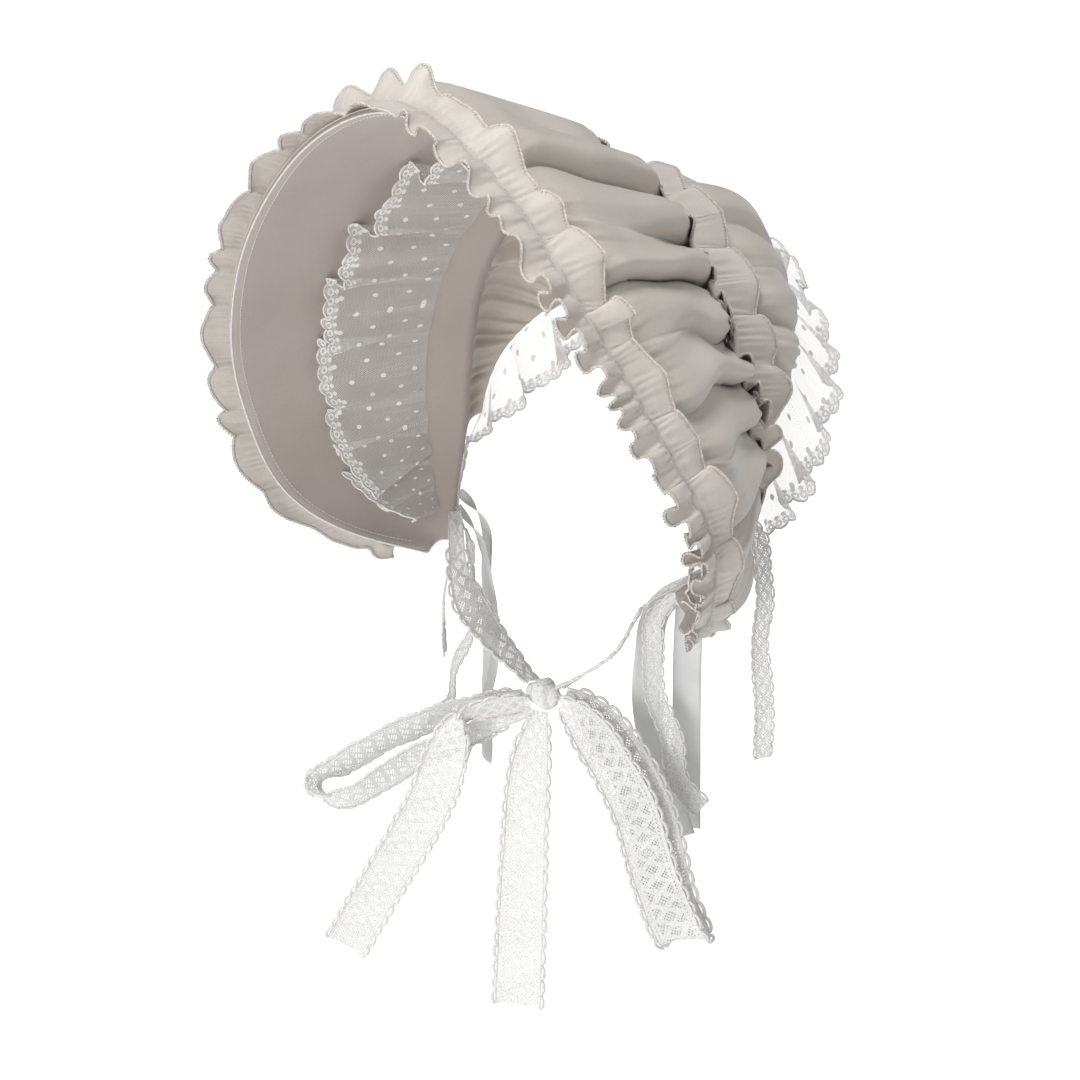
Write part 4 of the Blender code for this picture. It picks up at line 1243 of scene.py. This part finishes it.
def ribbonPiece(node, rows, finish, seed):
    name, look = camelCase(node), ribbonLook[finish]
    line = smoothLine(rows)
    total = lengthsOf(line)[-1]
    stations = along(line, np.linspace(0, 1, max(8, int(total / look["step"] * coarse))))
    run = lengthsOf(stations)
    middle, across = stations[:, :3], unit(stations[:, 4:7])
    tangent = unit(np.gradient(middle, axis=0))
    across = unit(across - tangent * (across * tangent).sum(axis=1)[:, None])
    normal = unit(np.cross(tangent, across))
    half = stations[:, 3] / 2
    full = half / half.max()
    edge = half - look["border"] * full
    grid, uv = [], []
    for share in np.linspace(-1, 1, look["rows"]):
        dip = look["cup"] * (share ** 2 - 0.4) * full
        dip = dip + look["wave"] * np.sin(run / 5.1 + share * 1.7 + seed) + 0.5 * wander(run, 23, seed)
        grid.append(middle + across * (share * edge)[:, None] + normal * dip[:, None])
        uv.append(np.stack([run, share * half.max() * (edge / half)], axis=-1))
    grid, uv = np.stack(grid, axis=1), np.stack(uv, axis=1)
    ribbon = sheetPiece(name, grid, uv, finish, look["wall"])
    trims = []
    if look["shape"]:
        normals = gridNormals(grid)
        left, right = (grid[:, 0], normals[:, 0]), (grid[:, -1], normals[:, -1])
        cords = join(name + "Cord", [tubePiece(f"{name}Cord{i}", *side, look["cord"], "whiteThread", 5)
                                     for i, side in enumerate((left, right))])
        wide = (half > 0.5 * half.max()) & (run < run[-1] - 3)
        lines = [[row[wide][::-1] for row in left], [row[wide] for row in right]]
        picots = repeatPiece(name + "Arches", lines, look["shape"], "whiteThread", look["arches"],
                             turnJitter=0.06, sizeJitter=0.06, seed=seed)
        trims = [cords, picots]
    dress(ribbon, look["slot"], node, trims=trims)


def edgeStart(u):
    # the start of a tail, sewn to the middle of the brim's wall at its lower edge
    place, lower = np.array([u]), np.ones(1)
    alongU, alongV, outward = (way[0] for way in frameOf(brimSurface, place, lower))
    point = brimSurface(place, lower)[0] + alongV - outward * shape["brimWall"] / 2
    return (*point, sewnWidth, *(alongU * math.copysign(1, alongU[0])))


knotLook = {
    "centre": (13, -63, -251), "radii": (10.0, 7.5, 8.5), "around": 72, "along": 40, "clear": 0.2,
    "creases": (0.05, 5, 0.04, 9),      # depth and number of the coarse and the fine ones
    "plump": 0.93, "wraps": 2.5, "wrapDepth": 0.10, "endHole": 0.04,
}


def atKnot(row):
    # the end of a ribbon, moved to where it comes out of the knot
    centre = np.array(knotLook["centre"])
    way = unit(np.array(row[:3]) - centre)
    edge = unit(np.array(row[4:7])) * row[3] / 2 * np.linspace(-1, 1, 9)[:, None]
    radii = np.array(knotLook["radii"]) + knotLook["clear"]
    reach = 0.0
    while np.linalg.norm((way * reach + edge) / radii, axis=1).min() < 1:
        reach += 0.1
    return (*(centre + way * reach), *row[3:])


def makeRibbons():
    tables = {name: filled(rows) for name, rows in ribbonTables.items()}
    for seed, (node, rows, ends) in enumerate((
        ("chin_tie_left", tables["tie"], (-1,)), ("chin_tie_right", flipped(tables["tieCrossing"]), (-1,)),
        ("bow_loop_left", tables["loopLeft"], (0, -1)), ("bow_loop_right", tables["loopRight"], (0, -1)),
        ("bow_tail_left", tables["tailLeft"], (0,)), ("bow_tail_right", tables["tailMiddle"], (0,)),
    )):
        for end in ends:
            rows[end] = atKnot(rows[end])
        ribbonPiece(node, rows, "wideLace", seed + 1)
    for seed, (trim, (place, rows)) in enumerate(sideTrims.items()):
        finish = "satin" if trim.startswith("satin") else "narrowLace"
        rows = [edgeStart(place), *filled(rows)]
        ribbonPiece(trim + "_left", rows, finish, 11 + seed)
        ribbonPiece(trim + "_right", flipped(rows), finish, 11 + seed)


# Knot: a small bunch with creases across it

def makeKnot():
    look = knotLook
    around, rows = look["around"], look["along"]
    angle = np.linspace(0, 2 * math.pi, around, endpoint=False)[None]
    steepest = math.pi / 2 - look["endHole"]
    tilt = np.linspace(-steepest, steepest, rows)[:, None]
    deep, count, fineDeep, fineCount = look["creases"]
    crease = deep * np.sin(count * tilt + 1.2 * np.sin(angle))
    crease = crease + fineDeep * np.sin(fineCount * tilt + 2 * np.cos(angle))
    pinch = 1 - look["wrapDepth"] * np.abs(np.sin(look["wraps"] * tilt + 0.6 * np.sin(angle))) ** 6
    radius = (look["plump"] + crease) * pinch
    ball = np.stack([np.sin(tilt) * np.ones_like(angle), np.cos(tilt) * np.cos(angle),
                     np.cos(tilt) * np.sin(angle)], axis=-1) * radius[..., None]
    points = (ball * look["radii"] + look["centre"]).reshape(-1, 3)
    uv = flatGrid((angle * 8, tilt * 9))
    knot = meshPiece("bowKnot", points, gridQuads(rows, around, closed=True), uv, "knottedLace")
    closeHoles(knot, around)
    dress(knot, "cotton_lace", "bow_knot")


makeBrim()
print("brim made")
makeBrimCover()
makeBackPanel()
print("cover and back panel made")
makeRimRuffle()
makeCrownRuffle()
print("ruffles made")
makeInnerFrill()
makeBackFrill()
print("frills made")
makeRibbons()
makeKnot()
print("ribbons made")
for item in (stitchShape, overlockShape, wideArch, narrowArch, beadShape):
    bpy.data.objects.remove(item)


# Floor, lights and camera

studio = {
    "floor": -0.45, "floorHalf": 12, "floorTone": (0.95, 0.95, 0.95), "floorGlow": 0.7, "world": 0.24,
    "backdrop": 0.97,
    "lights": (                 # place, size, power
        ((0.1, -0.6, 1.9), 0.6, 27), ((0.55, -2.0, 0.15), 0.9, 19), ((-1.4, -1.0, 0.6), 1.2, 7),
        ((0.9, 1.5, 1.6), 1.0, 9),
    ),
    "aim": (0.0, -0.03, -0.12), "lens": 104.17, "cameraPlace": (0.87322, -1.16457, 0.40385),
    "cameraTurn": (68, 0, 38),
}


def makeStudio():
    side, z = studio["floorHalf"], studio["floor"]
    mesh = bpy.data.meshes.new("floor")
    mesh.from_pydata([(-side, -side, z), (side, -side, z), (side, side, z), (-side, side, z)], [],
                     [(0, 1, 2, 3)])
    paint = bpy.data.materials.new("floorPaint")
    paint.use_nodes = True
    tree = paint.node_tree
    shader = tree.nodes["Principled BSDF"].inputs
    shader["Base Color"].default_value = (*studio["floorTone"], 1)
    shader["Roughness"].default_value = 0.9
    shader["Emission Strength"].default_value = studio["floorGlow"]
    tree.links.new(tree.nodes.new("ShaderNodeLightPath").outputs["Is Camera Ray"], shader["Emission Color"])
    mesh.materials.append(paint)
    addObject("floor", mesh)
    scene = bpy.context.scene
    scene.world = scene.world or bpy.data.worlds.new("studio")
    scene.world.use_nodes = True
    tree = scene.world.node_tree
    back = tree.nodes["Background"].inputs
    back["Color"].default_value = (1, 1, 1, 1)
    seen = calc(tree, "MULTIPLY", tree.nodes.new("ShaderNodeLightPath").outputs["Is Camera Ray"],
                studio["backdrop"])
    fill(tree, back["Strength"], calc(tree, "MAXIMUM", seen, studio["world"]))
    scene.view_settings.view_transform = "Standard"
    for i, (place, size, power) in enumerate(studio["lights"]):
        lamp = bpy.data.lights.new(f"softBox{i}", "AREA")
        lamp.size = size
        lamp.energy = power
        light = addObject(f"softBox{i}", lamp)
        light.location = place
        toward = np.array(studio["aim"]) - place
        light.rotation_euler = (math.acos(-toward[2] / np.linalg.norm(toward)), 0,
                                math.atan2(toward[1], toward[0]) - math.pi / 2)
    view = bpy.data.cameras.new("camera")
    view.lens, view.sensor_width = studio["lens"], 36
    camera = addObject("camera", view)
    camera.location = studio["cameraPlace"]
    camera.rotation_euler = [math.radians(angle) for angle in studio["cameraTurn"]]
    scene.camera = camera


makeStudio()
print("studio made")
